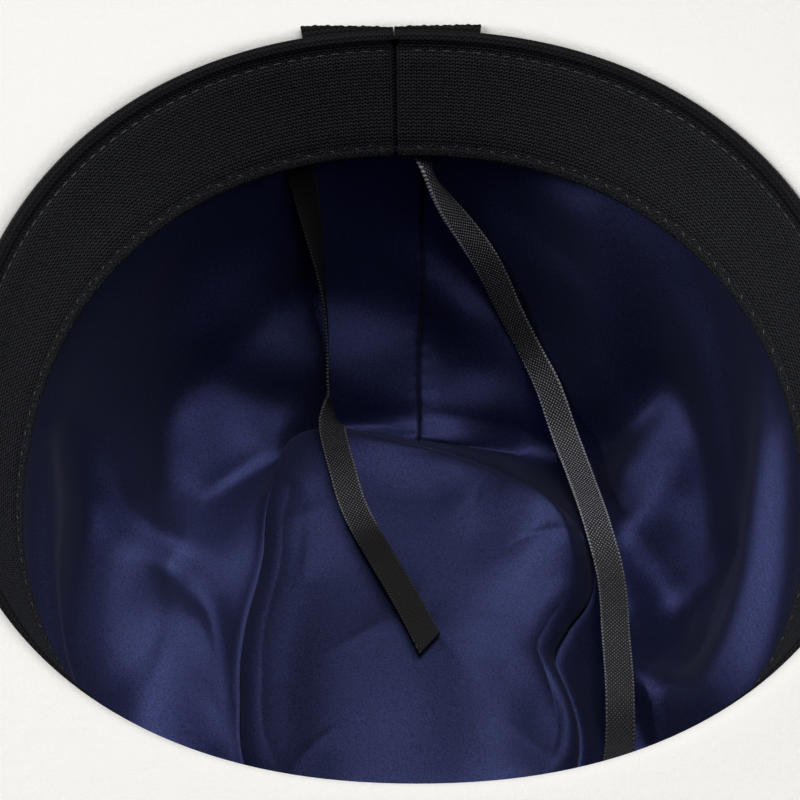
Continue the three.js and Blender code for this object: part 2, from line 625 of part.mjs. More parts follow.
function ribbon(route) {
  const curve = new THREE.CatmullRomCurve3(route.map(({ x, y, z }) => new THREE.Vector3(x, y, z)));
  const sections = [];
  for (let i = 0; i <= RIBBON.steps; i += 1) {
    const t = i / RIBBON.steps;
    const place = curve.getPoint(t);
    const along = curve.getTangent(t);
    const across = along.clone().cross(facingAt(route, t)).normalize();
    const facing = across.clone().cross(along);
    const corners = [[-1, -1], [1, -1], [1, 1], [-1, 1]];
    sections.push(corners.map(([side, up]) => place.clone()
      .addScaledVector(across, (side * RIBBON.width) / 2)
      .addScaledVector(facing, (up * RIBBON.thickness) / 2)));
  }
  return sweptStrip(sections);
}

// ---- The hat ---------------------------------------------------------------------------------

const hat = new THREE.Group();

function addPiece(name, geometry, finish) {
  const mesh = new THREE.Mesh(geometry, new THREE.MeshStandardMaterial(finish));
  mesh.name = name;
  hat.add(mesh);
}

addPiece("felt_body", feltBody(), FINISHES.felt);
addPiece("sweatband", sweatband(), FINISHES.sweatband);
for (const [name, tab] of Object.entries(TABS)) addPiece(name, seamTab(tab), FINISHES.sweatband);
addPiece("lining_side_band", liningSideBand(), FINISHES.sideSatin);
addPiece("lining_tip", liningTip(), FINISHES.tipSatin);
for (const [name, route] of Object.entries(RIBBON_ROUTES)) addPiece(name, ribbon(route), FINISHES.ribbon);

export default hat;
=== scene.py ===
"""A cream felt fedora lying upside down on its crown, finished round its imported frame.

The frame is in metres, +Z up, with the back of the hat towards +Y and z = 0 where the crown rests.
The tables here are in millimetres. Angles are degrees counterclockwise round the head opening, with
0 at +X and 90 at the back. Depths go down into the crown from the sweatband's top edge, and run is
the length of cloth from the lining's sewn top.
"""

import json
import math
from collections import namedtuple

import bpy
import numpy as np
from bpy.props import FloatProperty, FloatVectorProperty, IntProperty, PointerProperty
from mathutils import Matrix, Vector

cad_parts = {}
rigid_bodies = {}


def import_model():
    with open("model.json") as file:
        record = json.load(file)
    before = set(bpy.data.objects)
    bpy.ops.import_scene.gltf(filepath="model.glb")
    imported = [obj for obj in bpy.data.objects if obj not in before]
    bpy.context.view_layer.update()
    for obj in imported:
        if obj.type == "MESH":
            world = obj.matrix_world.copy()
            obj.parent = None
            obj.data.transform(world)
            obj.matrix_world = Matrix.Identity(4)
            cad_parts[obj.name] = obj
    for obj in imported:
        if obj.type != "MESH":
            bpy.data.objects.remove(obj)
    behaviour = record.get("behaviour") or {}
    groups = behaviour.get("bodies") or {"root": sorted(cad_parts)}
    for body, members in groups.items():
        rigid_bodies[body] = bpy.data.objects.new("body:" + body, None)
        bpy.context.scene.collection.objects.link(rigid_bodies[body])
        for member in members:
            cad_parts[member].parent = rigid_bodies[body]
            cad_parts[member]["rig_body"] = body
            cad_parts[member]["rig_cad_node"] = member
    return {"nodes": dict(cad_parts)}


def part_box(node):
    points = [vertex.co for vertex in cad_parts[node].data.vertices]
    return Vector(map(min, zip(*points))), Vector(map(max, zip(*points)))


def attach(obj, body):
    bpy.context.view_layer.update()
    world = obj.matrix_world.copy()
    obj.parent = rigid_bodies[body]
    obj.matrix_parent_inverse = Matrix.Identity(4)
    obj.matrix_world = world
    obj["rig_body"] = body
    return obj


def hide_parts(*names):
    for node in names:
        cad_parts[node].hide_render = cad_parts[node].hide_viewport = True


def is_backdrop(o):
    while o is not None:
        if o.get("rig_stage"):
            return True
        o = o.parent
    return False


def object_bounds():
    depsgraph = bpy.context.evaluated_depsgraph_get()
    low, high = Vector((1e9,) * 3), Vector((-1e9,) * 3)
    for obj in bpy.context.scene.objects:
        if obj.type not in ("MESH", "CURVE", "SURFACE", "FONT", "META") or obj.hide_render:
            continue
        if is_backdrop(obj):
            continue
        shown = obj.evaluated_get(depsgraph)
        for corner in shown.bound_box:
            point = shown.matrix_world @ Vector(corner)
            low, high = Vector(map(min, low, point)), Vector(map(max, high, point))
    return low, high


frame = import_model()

bl_info = {
    "name": "Lined felt fedora",
    "version": (1, 0, 0),
    "blender": (4, 5, 0),
    "location": "View3D > Sidebar > Fedora",
    "description": "Felt body, twill sweatband, satin lining and loose ribbons of an upturned fedora",
    "category": "Object",
}

MM = 0.001
BODY = "root"
CAD_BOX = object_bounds()

# ---- Sizes shared with the frame ----

OPENING_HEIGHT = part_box("sweatband")[1].z / MM
BAND_HEIGHT = 27.0
OVAL_POWER = 2.19
SIDE_DIP = 2.4
SIDE_DIP_DEPTH = 40.0
FELT_SUBDIVISIONS = 2
MERGE_DISTANCE = 0.00001

BAND_TOP = {"half_width": 85.5, "half_length": 100.7}
BAND_LEAN = {"sides": 8.1, "ends": 9.1}
BAND_BULGE = 0.6
BAND_SEAM_ANGLE = 92.0
BAND_FRONT_DROP = 2.2
FRONT_SINES = (0.25, 0.75)

Section = namedtuple("Section", "run depth half_width back front narrowing")
LINING_SECTIONS = [
    Section(0, 12, 84.9, 100, 100, 0),
    Section(16, 28, 82.4, 97.4, 97, 0),
    Section(38, 50, 79.8, 94.8, 94.2, 0),
    Section(60, 72, 76.8, 91.8, 90.6, 0.02),
    Section(77, 88, 72.2, 87.6, 85.6, 0.06),
    Section(90, 99, 64.5, 81, 78, 0.14),
]
WALL_RUN = LINING_SECTIONS[-1].run
FLOOR_RUN = 25.0
LINING_RUN = WALL_RUN + FLOOR_RUN
FLOOR_SLOPES = {"foot": -0.75, "seam": 0.55}

PINCH = {"angles": (-52, -128), "depth": 84, "push": 13.5, "width": 18, "tall": 24}

TIP_MIDDLE = (0.0, 4.0)
TIP_DEPTH = 87.5
TIP_SHOULDER_POWER = 9
TIP_WEAVE_START = 100.0  # keeps the weave to one side of where its slant turns back
TIP_COLUMNS, TIP_ROWS = 320, 60
TIP_CENTRE_AREA = 0.0004  # the rows stop at this share of the tip's area, and a fan closes them
TIP_OVERLAP = 0.3
TIP_FOLD_FADE = 0.12

SeamPlace = namedtuple("SeamPlace", "angle radius depth")
TIP_SEAM = [
    SeamPlace(-90, 66, 95),
    SeamPlace(-48, 50, 95),
    SeamPlace(-13, 32, 95),
    SeamPlace(5, 34.5, 95),
    SeamPlace(20, 43.5, 95.5),
    SeamPlace(37, 49, 92),
    SeamPlace(62, 50.5, 91),
    SeamPlace(90, 56.5, 91),
    SeamPlace(114, 65.5, 91),
    SeamPlace(128, 53, 91),
    SeamPlace(146, 40.5, 92.5),
    SeamPlace(170, 36.5, 92.5),
    SeamPlace(203, 40, 93),
    SeamPlace(228, 50.5, 94),
    SeamPlace(270, 66, 95),
]

# ---- Folds of the lining ----

# Each runs through three places, (angle, run) on the side band and (x, y) on the tip. It stands
# height above the cloth round it and falls away over one width on its left and another on its
# right, seen along it from the start with the hollow of the hat above.
Fold = namedtuple("Fold", "name start middle end height left right")
SIDE_FOLDS = [
    Fold("low pillow on the left", (163, 86), (189, 98), (205, 104), 11.0, 8.1, 8.2),
    Fold("middle pillow on the left", (159, 75), (158, 94), (166, 94), 10.8, 5.5, 14.8),
    Fold("ridge down the right wall", (11, 38), (-10, 70), (-10, 92), 11.0, 11.4, 6.5),
    Fold("patch on the right", (43, 76), (38, 83), (41, 93), 9.9, 8.6, 12.6),
    Fold("lobe by the right rear", (42, 108), (31, 103), (28, 87), 11.0, 8.8, 14.9),
    Fold("lower lobe", (65, 109), (37, 110), (30, 95), 11.0, 13.8, 4.5),
    Fold("inner swell on the right", (3, 90), (-6, 95), (-12, 94), 5.4, 4.5, 10.4),
    Fold("valley by the left edge", (168, 34), (165, 64), (191, 65), -4.1, 9.6, 5.2),
    Fold("diagonal valley on the left", (164, 94), (185, 111), (200, 107), -5.0, 11.1, 4.8),
    Fold("border of the dark rear", (125, 62), (149, 80), (160, 94), -4.0, 7.4, 11.8),
    Fold("back pocket", (135, 76), (124, 85), (120, 89), -5.0, 12.6, 12.4),
    Fold("arc", (127, 73), (114, 53), (95, 65), -0.9, 4.5, 5.8),
    Fold("stripe", (121, 62), (109, 77), (88, 76), 9.8, 12.3, 14.3),
    Fold("patch right of seam", (88, 49), (84, 58), (78, 64), 5.5, 6.2, 5.1),
    Fold("dark diagonal right of seam", (86, 60), (86, 82), (85, 77), -2.5, 4.5, 6.6),
    Fold("lower patch right of seam", (95, 87), (80, 92), (75, 76), 11.0, 10.0, 15.4),
    Fold("moat dark", (98, 115), (111, 114), (61, 99), -5.0, 4.5, 4.8),
    Fold("line on right wall", (43, 28), (31, 41), (13, 67), -2.3, 4.5, 14.1),
    Fold("dark zone right", (44, 72), (30, 91), (-9, 98), -3.3, 24.0, 23.0),
    Fold("streak", (84, 37), (87, 21), (67, 36), -4.5, 5.5, 15.3),
    Fold("strip beside ribbon", (62, 27), (53, 64), (67, 85), 8.7, 20.2, 9.6),
    Fold("crease low right", (10, 69), (9, 104), (-17, 106), -5.0, 4.5, 4.5),
    Fold("swell low on the right wall", (11, 61), (-4, 78), (-15, 71), 6.5, 7.6, 14.9),
    Fold("strip up the left wall", (170, 38), (197, 59), (187, 63), 5.6, 4.5, 11.9),
    Fold("swell under the right hem", (73, 27), (50, 29), (33, 45), 2.0, 13.2, 6.7),
    Fold("swell on the left rear", (133, 52), (129, 41), (123, 39), -2.1, 8.2, 10.9),
    Fold("rim of the middle pillow", (146, 76), (129, 82), (112, 103), 8.3, 9.9, 9.3),
    Fold("apex of the right patch", (43, 75), (40, 59), (31, 65), -2.3, 4.5, 4.8),
    Fold("foot of the right floor", (18, 100), (-0, 99), (-8, 87), 11.0, 4.5, 4.5),
    Fold("second swell low on the left", (188, 82), (174, 97), (197, 113), 7.6, 6.2, 9.5),
    Fold("hollow in the middle pillow", (139, 90), (128, 97), (160, 96), 11.0, 8.8, 9.2),
]
TIP_FOLDS = [
    Fold("right shoulder", (13, 51), (29, 38), (24, 4), 3.5, 9, 14),
    Fold("gathers on the right", (34, 14), (32, -12), (26, -28), -3.0, 7, 7),
    Fold("slope on the right", (39, 24), (24, 5), (28, -25), -3.0, 8, 7),
    Fold("swell along the far edge", (-19, 62), (-6, 56), (22, 44), 3.5, 7, 9),
    Fold("low side on the left", (-26, 15), (-28, -19), (-24, -33), -2.1, 12, 7),
    Fold("dip in the middle", (-3, 3), (3, -19), (2, -37), -1.0, 9, 9),
    Fold("swell by the far right", (15, 38), (37, 33), (35, 21), 3.5, 8, 7),
    Fold("dip by the far left", (-23, 38), (-11, 20), (-2, 8), -3.0, 17, 7),
]
FOLDS_TOWARDS = (0.0, 4.0, 75.0)
FOLD_ROOM = {"hollow": 13.0, "wall": 1.8, "floor": 4.5, "start": 60.0, "end": 95.0}
FOLD_END = 0.12
FOLD_SOFTENING = 8
FOLD_SAMPLES = 14
DEGREE = 1.5  # millimetres of cloth to a degree round the head
SMOOTH_HEM = {"run": 14.0, "fade": 10.0}
SMOOTH_SEAM = 6.0
SIDE_SEAM = {"angle": 88.6, "depth": 0.9, "width": 0.45, "pucker": 0.08, "pitch": 4.2}
NEAR_SEAM = (-1.2, -0.8, -0.5, -0.3, -0.15, 0, 0.15, 0.3, 0.5, 0.8, 1.2)  # columns beside the seam
NEAR_SEAM_DEGREES = 1.1
PUCKER_WIDTH = 2.5
SEAM_TUCK, TUCK_RUN = 1.2, 1.5  # the side band's end dips this much under the tip's edge
SIDE_ROWS = 118
SIDE_MEASURE_ROW = 20

# ---- Ribbons ----

# turn: 0 faces the front, 90 faces +X; lean: 0 faces level, 90 faces up; cup: degrees curled
# across; the last column is a painted highlight: how much brighter the floats are drawn where that
# stretch faces the lamps.
Bend = namedtuple("Bend", "x y z turn lean cup shine")
Turn = namedtuple("Turn", "index turn lean cup shine")
RIBBON_LEFT = [
    Bend(-28.2, 92.6, 93, 17, 0, 0, 0.15),
    Bend(-26, 92, 82.5, 17, 5, 0, 0.15),
    Bend(-23.6, 89.5, 69.1, 50, 3, 0, 0.15),
    Bend(-21.3, 85.1, 53.1, 84, 2, 0, 0.2),
    Bend(-20.3, 79.8, 42.4, 90, 0, 0, 0.25),
    Bend(-20.1, 74, 34, 90, 0, 0, 0.35),
    Bend(-19.8, 69.3, 28.5, 84, 10, 0, 0.5),
    Bend(-18.6, 58.3, 29.4, 10, 78, 0, 0.7),
    Bend(-16.3, 47.1, 29.3, 0, 92, 0, 1.2),
    Bend(-13.8, 37.8, 27.5, 0, 91, 0, 2.7),
    Bend(-10, 28, 27.3, 0, 90, 0, 0.3),
    Bend(-5.4, 18, 27.3, 0, 90, 0, 0.22),
    Bend(-1.5, 9.4, 27.3, 0, 90, 0, 0.22),
    Bend(1.8, 1.5, 27.3, 0, 90, 0, 0.22),
    Bend(3.8, -3.6, 27.3, 0, 90, 0, 0.22),
]
RIBBON_RIGHT = [
    Bend(2.8, 96, 93, 0, 0, 0, 0.4),
    Bend(3.1, 95.4, 88.5, 4, 0, 0, 0.4),
    Bend(3.6, 94.6, 85.8, 22, 0, 20, 0.5),
    Bend(4.4, 93.2, 82.8, 70, 0, 40, 1.5),
    Bend(5.4, 92.4, 79.5, 80, 0, 40, 1.5),
    Bend(8.3, 91.3, 73.5, 66, 0, 30, 2.4),
    Bend(14, 89.6, 64.3, 42, 0, 20, 2.2),
    Bend(18.9, 88, 55.6, 12, 5, 0, 0.6),
    Bend(24, 84.1, 45.2, -14, 8, 0, 0.4),
    Bend(28.9, 79.1, 37.1, -24, 16, 0, 0.6),
    Bend(33.1, 72.3, 31.7, -26, 40, 0, 2.3),
    Bend(37.1, 63.3, 24.2, -10, 60, 0, 2.7),
    Bend(40.2, 50.3, 23.2, 10, 75, 0, 2.5),
    Bend(42.8, 32.5, 26.2, 10, 84, 0, 2),
    Bend(45.3, 19.4, 23, 0, 88, 0, 0.5),
    Bend(45.4, 2.2, 21.8, 0, 86, 0, 0.65),
    Bend(45.1, -13.6, 22, 0, 88, 0, 0.45),
    Bend(44.5, -24.5, 16.3, 0, 88, 0, 0.12),
    Bend(41, -37.2, 16.2, 0, 88, 0, 0.12),
    Bend(35.5, -47, 17.4, 0, 88, 0, 0.12),
]
# The left ribbon's black is drawn darker than the right one's: painted shade, as it faces away from the
# lamps.
RIBBONS = (  # node, route, and how bright its black is
    ("ribbon_left", RIBBON_LEFT, 0.45),
    ("ribbon_right", RIBBON_RIGHT, 1.1),
)
RIBBON_STEPS = 300
RIBBON_CUT = 1.9  # each edge ends this much before or past the middle of the slanted cut
RIBBON_ACROSS = 9
RIBBON_EDGE = {"thicker": 0.5, "share": 0.12}  # the woven edge stands thicker than the middle
RIBBON_WEAVE_HALF = 3  # millimetres of weave on each side of the middle

# ---- Sweatband ----

# The band's section from its turned edge, over the piped top, to its lower edge.
# Each place is how far below the top edge it is, and how far away from the head.
BAND_PROFILE = [
    (1.7, 1.35), (0.6, 1.5), (-0.1, 1.25), (-0.4, 0.7), (-0.2, 0.15), (0.4, -0.2), (1.1, -0.25),
    (1.7, 0.05), (2.2, 0.12), (2.8, 0), (3.2, 0.22), (3.6, 0), (6, 0), (9, 0), (12, 0), (15, 0),
    (18, 0), (21, 0), (24.2, 0), (24.7, 0.2), (25.2, 0), (26.6, 0.02), (27, 0.2),
]
STITCH_ROWS = [
    {"down": 3.2, "pitch": 3.3, "length": 2.3, "slant": 0.0},
    {"down": 24.7, "pitch": 3.0, "length": 1.7, "slant": 0.35},
]
STITCH_BEHIND = -0.34
STITCH_FROM_SEAM = 1.5
STITCH_SAMPLES = 3600
# The twill is drawn darker over the roll, up to this far across its cloth: painted shade.
ROLL_END, ROLL_FADE = 4.9, 0.5  # millimetres across the band's cloth
HEM_START, HEM_FADE = 28.6, 0.9
BAND_COLUMNS = 521
BAND_HALF_GAP = 0.12
BAND_DEGREE = 1.75  # millimetres of band to a degree round the head
BAND_MEASURE_DOWN = 10.0
# The band's ends turn back into the seam below their piped top.
SEAM_TURN = {"depth": 1.1, "width": 0.5, "below": 0.5}
TABS = {
    "sweatband_tab_left": {"start": 104.4, "end": 92.08, "reach_start": 2.1, "reach_end": 0.7},
    "sweatband_tab_right": {"start": 91.92, "end": 81.4, "reach_start": 0.8, "reach_end": 1.5},
}
TAB_COLUMNS, TAB_ROWS = 60, 10
TAB_FOOT, TAB_BEHIND, TAB_LEAN = -0.45, 0.55, 0.8
TAB_WAVE = {"edge": 0.05, "face": 0.12}
TAB_THICKNESS = 0.8

# ---- Camera and light ----

CAMERA = {"target": (-2.66, -15.0), "elevation": 45, "distance": 400, "sensor": 36, "lens": 96.6}
CLIP_START = 10
FLOOR_SIZE = 8
LIGHT_SIZE = 0.9
LIGHT_TARGET = (0, 0, 0.1)
LIGHTS = [  # name, place in metres and power
    ("Softbox on the left", (-1.413, 0, 0.851), 16.5),
    ("Softbox overhead", (0, 0.056, 1.7), 10.7),
    ("Softbox behind right", (0.65, 0.65, 1.41), 8.0),
    ("Softbox on the right", (1.413, 0, 0.851), 6.5),
    ("Softbox in front right", (0.65, -0.65, 1.41), 2.3),
]
WORLD_LIGHT = 0.005


class FedoraSizes(bpy.types.PropertyGroup):
    """Sizes that a user would change."""

    cloth_thickness: FloatProperty(
        name="Satin thickness",
        description="Thickness of the lining's cloth",
        default=0.4 * MM,
        unit="LENGTH",
    )
    band_thickness: FloatProperty(
        name="Sweatband thickness",
        description="Thickness of the twill band's cloth",
        default=0.45 * MM,
        unit="LENGTH",
    )
    ribbon_width: FloatProperty(
        name="Ribbon width",
        description="Width of the loose ribbons",
        default=6.3 * MM,
        unit="LENGTH",
    )
    ribbon_thickness: FloatProperty(
        name="Ribbon thickness",
        description="Thickness of the loose ribbons between their woven edges",
        default=0.4 * MM,
        unit="LENGTH",
    )
    thread_radius: FloatProperty(
        name="Stitch thread radius",
        description="Radius of the sewing thread on the sweatband",
        default=0.17 * MM,
        unit="LENGTH",
    )
    lining_columns: IntProperty(
        name="Lining columns",
        description="How finely the lining is divided round the head",
        default=400,
        min=56,
        max=480,
    )


class FedoraColours(bpy.types.PropertyGroup):
    """Colours that a user would change."""

    felt: FloatVectorProperty(
        name="Felt", description="Colour of the felt", subtype="COLOR",
        default=(0.87, 0.855, 0.83),
    )
    twill: FloatVectorProperty(
        name="Twill", description="Colour of the sweatband", subtype="COLOR",
        default=(0.0138, 0.0143, 0.0175),
    )
    satin: FloatVectorProperty(
        name="Side satin", description="Colour of the lining's side band", subtype="COLOR",
        default=(0.0272, 0.0328, 0.102),
    )
    tip_satin: FloatVectorProperty(
        name="Tip satin", description="Colour of the lining's tip", subtype="COLOR",
        default=(0.0275, 0.0332, 0.1),
    )
    ribbon: FloatVectorProperty(
        name="Ribbon", description="Colour of the loose ribbons", subtype="COLOR",
        default=(0.010, 0.010, 0.011),
    )
    floor: FloatVectorProperty(
        name="Floor", description="Colour of the studio floor", subtype="COLOR",
        default=(0.78, 0.78, 0.77),
    )


# ---- Curves and tables ----

def signed_power(value, power):
    return np.sign(value) * np.abs(value) ** power


def fade(value, low, high):
    """0 at low, 1 at high and smooth between."""
    t = np.clip((value - low) / (high - low), 0, 1)
    return t * t * (3 - 2 * t)


def read_table(rows, key, at):
    """Every column of a table at the values of its key, as the last axis, on a smooth curve."""
    values = np.array(rows, float)
    keys = values[:, rows[0]._fields.index(key)]
    slopes = np.empty_like(values)
    slopes[1:-1] = (values[2:] - values[:-2]) / (keys[2:] - keys[:-2])[:, None]
    slopes[0] = (values[1] - values[0]) / (keys[1] - keys[0])
    slopes[-1] = (values[-1] - values[-2]) / (keys[-1] - keys[-2])
    at = np.asarray(at, float)
    row = np.clip(np.searchsorted(keys, at, side="right") - 1, 0, len(keys) - 2)
    length = (keys[row + 1] - keys[row])[..., None]
    t = np.clip((at - keys[row])[..., None] / length, 0, 1)
    return hermite(values[row], slopes[row] * length, values[row + 1], slopes[row + 1] * length, t)


def hermite(start, start_slope, end, end_slope, t):
    t2, t3 = t * t, t * t * t
    start_part = (2 * t3 - 3 * t2 + 1) * start + (t3 - 2 * t2 + t) * start_slope
    return start_part + (3 * t2 - 2 * t3) * end + (t3 - t2) * end_slope


def through_three(places, t):
    """Points on the curve through three places, from t = 0 to t = 1."""
    first, middle, last = (np.asarray(place, float) for place in places)
    t = t[:, None]
    return (1 - t) * (1 - 2 * t) * first + 4 * t * (1 - t) * middle + t * (2 * t - 1) * last


def through_all(points, count):
    """Points along the smooth curve through a route, the same curve as the frame's ribbons."""
    points = np.asarray(points, float)
    points = np.vstack([2 * points[0] - points[1], points, 2 * points[-1] - points[-2]])
    at = np.linspace(0, len(points) - 3, count)
    piece = np.minimum(at.astype(int), len(points) - 4)
    t = (at - piece)[:, None]
    before, start, end, after = (points[piece + i] for i in range(4))
    gaps = [
        np.sqrt(np.linalg.norm(b - a, axis=1))[:, None]
        for a, b in ((before, start), (start, end), (end, after))
    ]
    leave = (start - before) / gaps[0] - (end - before) / (gaps[0] + gaps[1]) + (end - start) / gaps[1]
    arrive = (end - start) / gaps[1] - (after - start) / (gaps[1] + gaps[2]) + (after - end) / gaps[2]
    return hermite(start, leave * gaps[1], end, arrive * gaps[1], t)


def running_length(points):
    """Length along a row of points, from 0 at the first."""
    return np.concatenate([[0], np.cumsum(np.linalg.norm(np.diff(points, axis=0), axis=1))])


def unit(vectors):
    return vectors / np.maximum(np.linalg.norm(vectors, axis=-1, keepdims=True), 1e-12)


# ---- Surfaces of the hat, in millimetres ----

def oval(angle, half_width, half_length):
    cos, sin = np.cos(np.radians(angle)), np.sin(np.radians(angle))
    x = half_width * signed_power(cos, 2 / OVAL_POWER)
    y = half_length * signed_power(sin, 2 / OVAL_POWER)
    return x, y


def side_dip(angle, depth):
    share = np.clip(1 - depth / SIDE_DIP_DEPTH, 0, 1)
    return SIDE_DIP * share * np.cos(np.radians(angle)) ** 2


def wall_point(angle, run):
    """The lining's wall: an oval drawn in towards the front and at the two finger pinches."""
    _, depth, half_width, back, front, narrowing = np.moveaxis(
        read_table(LINING_SECTIONS, "run", run), -1, 0
    )
    sin = np.sin(np.radians(angle))
    x, y = oval(angle, half_width, np.where(sin > 0, back, front))
    x = x * (1 - narrowing * ((1 - sin) / 2) ** 2)
    push = np.zeros_like(x)
    for pinch_angle in PINCH["angles"]:
        turn = (angle - pinch_angle + 180) % 360 - 180
        across = (turn / PINCH["width"]) ** 2
        along = ((depth - PINCH["depth"]) / PINCH["tall"]) ** 2
        push = push + PINCH["push"] * np.exp(-across - along)
    share = 1 - push / np.hypot(x, y)
    return np.stack([x * share, y * share, OPENING_HEIGHT - depth - side_dip(angle, depth)], -1)


def seam_place(tip_angle):
    """Radius and height of the seam round the tip."""
    rows = [
        SeamPlace(row.angle + turn, row.radius, row.depth)
        for turn in (-360, 0, 360)
        for row in TIP_SEAM[:-1]
    ]
    place = read_table(rows, "angle", (tip_angle + 90) % 360 - 90)
    return place[..., 1], OPENING_HEIGHT - place[..., 2]


def floor_point(angle, share):
    """The side band from the foot of its wall, over a sagging floor, up to the tip's seam."""
    foot = wall_point(angle, np.full_like(angle, WALL_RUN))
    tip_angle = np.degrees(np.arctan2(foot[..., 1] - TIP_MIDDLE[1], foot[..., 0] - TIP_MIDDLE[0]))
    radius, height = seam_place(tip_angle)
    seam_x = TIP_MIDDLE[0] + radius * np.cos(np.radians(tip_angle))
    seam_y = TIP_MIDDLE[1] + radius * np.sin(np.radians(tip_angle))
    x = foot[..., 0] + (seam_x - foot[..., 0]) * share
    y = foot[..., 1] + (seam_y - foot[..., 1]) * share
    foot_slope, seam_slope = FLOOR_SLOPES["foot"] * FLOOR_RUN, FLOOR_SLOPES["seam"] * FLOOR_RUN
    z = hermite(foot[..., 2], foot_slope, height, seam_slope, share)
    return np.stack([x, y, z], -1)


def side_point(angle, run):
    angle, run = np.broadcast_arrays(np.asarray(angle, float), np.asarray(run, float))
    wall = wall_point(angle, np.minimum(run, WALL_RUN))
    floor = floor_point(angle, np.clip((run - WALL_RUN) / FLOOR_RUN, 0, 1))
    return np.where((run > WALL_RUN)[..., None], floor, wall)


def fold_lift(points, spots, folds, place_on, spot_size):
    """How far the folds lift each point: most on a fold's line, fading to its sides and ends.

    spots are the points' own places in the folds' tables, and spot_size their steps in millimetres.
    """
    flat, spots = points.reshape(-1, 3), spots.reshape(-1, 2)
    lift = np.zeros(len(flat))
    t = np.linspace(0, 1, FOLD_SAMPLES)
    for fold in folds:
        places = through_three((fold.start, fold.middle, fold.end), t)
        line = place_on(places)
        size = line.shape[1]
        start, along = line[:-1], np.diff(line, axis=0)
        reach = 3 * max(fold.left, fold.right) + np.linalg.norm(along, axis=1).sum() / 2
        near = np.linalg.norm(flat[:, :size] - line[FOLD_SAMPLES // 2], axis=1) < reach
        offset = flat[near, None, :size] - start
        share = np.clip((offset * along).sum(-1) / (along**2).sum(-1), 0, 1)
        distance = np.linalg.norm(offset - share[..., None] * along, axis=-1)
        piece = distance.argmin(1)
        rows = np.arange(len(piece))
        step = np.diff(places, axis=0)[piece] * spot_size
        aside = (spots[near] - places[piece]) * spot_size
        side = (step[:, 0] * aside[:, 1] - step[:, 1] * aside[:, 0]) / np.linalg.norm(step, axis=1)
        width = fold.left + (fold.right - fold.left) * (0.5 + 0.5 * np.tanh(side))
        place = (piece + share[rows, piece]) / (FOLD_SAMPLES - 1)
        along_fade = np.sin(np.pi * (FOLD_END + (1 - 2 * FOLD_END) * place)) ** 0.8
        lift[near] += fold.height * along_fade * np.exp(-((distance[rows, piece] / width) ** 2))
    return lift.reshape(points.shape[:-1])


def softened(values, passes):
    """Values round the head, each pass averaging them with their neighbours."""
    for _ in range(passes):
        values = 0.5 * values + 0.25 * (np.roll(values, 1, axis=1) + np.roll(values, -1, axis=1))
        padded = np.pad(values, ((1, 1), (0, 0)), mode="edge")
        values = 0.5 * values + 0.25 * (padded[:-2] + padded[2:])
    return values


def folded_side(angle, run):
    """The side band with its folds, which stand towards the hollow or fall back towards the felt."""
    base = side_point(angle[None, :], run[:, None])
    turned = (angle + 110) % 360 - 110
    spots = np.stack(np.broadcast_arrays(turned[None, :], run[:, None]), -1)
    place_on = lambda places: side_point(places[:, 0], np.clip(places[:, 1], 0, LINING_RUN))
    hem = fade(run, SMOOTH_HEM["run"], SMOOTH_HEM["run"] + SMOOTH_HEM["fade"])
    seam = np.clip((LINING_RUN - run) / SMOOTH_SEAM, 0, 1)
    lift = fold_lift(base, spots, SIDE_FOLDS, place_on, (DEGREE, 1)) * (hem * seam)[:, None]
    share = fade(run, FOLD_ROOM["start"], FOLD_ROOM["end"])[:, None]
    room = FOLD_ROOM["wall"] + (FOLD_ROOM["floor"] - FOLD_ROOM["wall"]) * share
    room = np.where(lift < 0, room, FOLD_ROOM["hollow"])
    lift = softened(room * np.tanh(lift / room), FOLD_SOFTENING)
    return base + unit(np.array(FOLDS_TOWARDS) - base) * lift[..., None]


def grid_normals(grid, closed):
    """Unit vectors square to a grid, towards the hollow of the hat."""
    if closed:
        around = np.roll(grid, -1, axis=1) - np.roll(grid, 1, axis=1)
    else:
        around = np.gradient(grid, axis=1)
    return unit(np.cross(around, np.gradient(grid, axis=0)))


def band_point(angle, down, behind=0.0):
    share = down / BAND_HEIGHT
    bulge = BAND_BULGE * np.sin(np.pi * np.clip(share, 0, 1))
    half_width = BAND_TOP["half_width"] - BAND_LEAN["sides"] * share + bulge + behind
    half_length = BAND_TOP["half_length"] - BAND_LEAN["ends"] * share + bulge + behind
    x, y = oval(angle, half_width, half_length)
    front = fade(-np.sin(np.radians(angle)), *FRONT_SINES)
    z = OPENING_HEIGHT - down - side_dip(angle, 0) - BAND_FRONT_DROP * front * (1 - share)
    return np.stack(np.broadcast_arrays(x, y, z), -1)


def oval_length(angle):
    """Millimetres round the sweatband, a little below its top edge, at each of many angles."""
    return running_length(band_point(angle, np.full_like(angle, BAND_MEASURE_DOWN)))


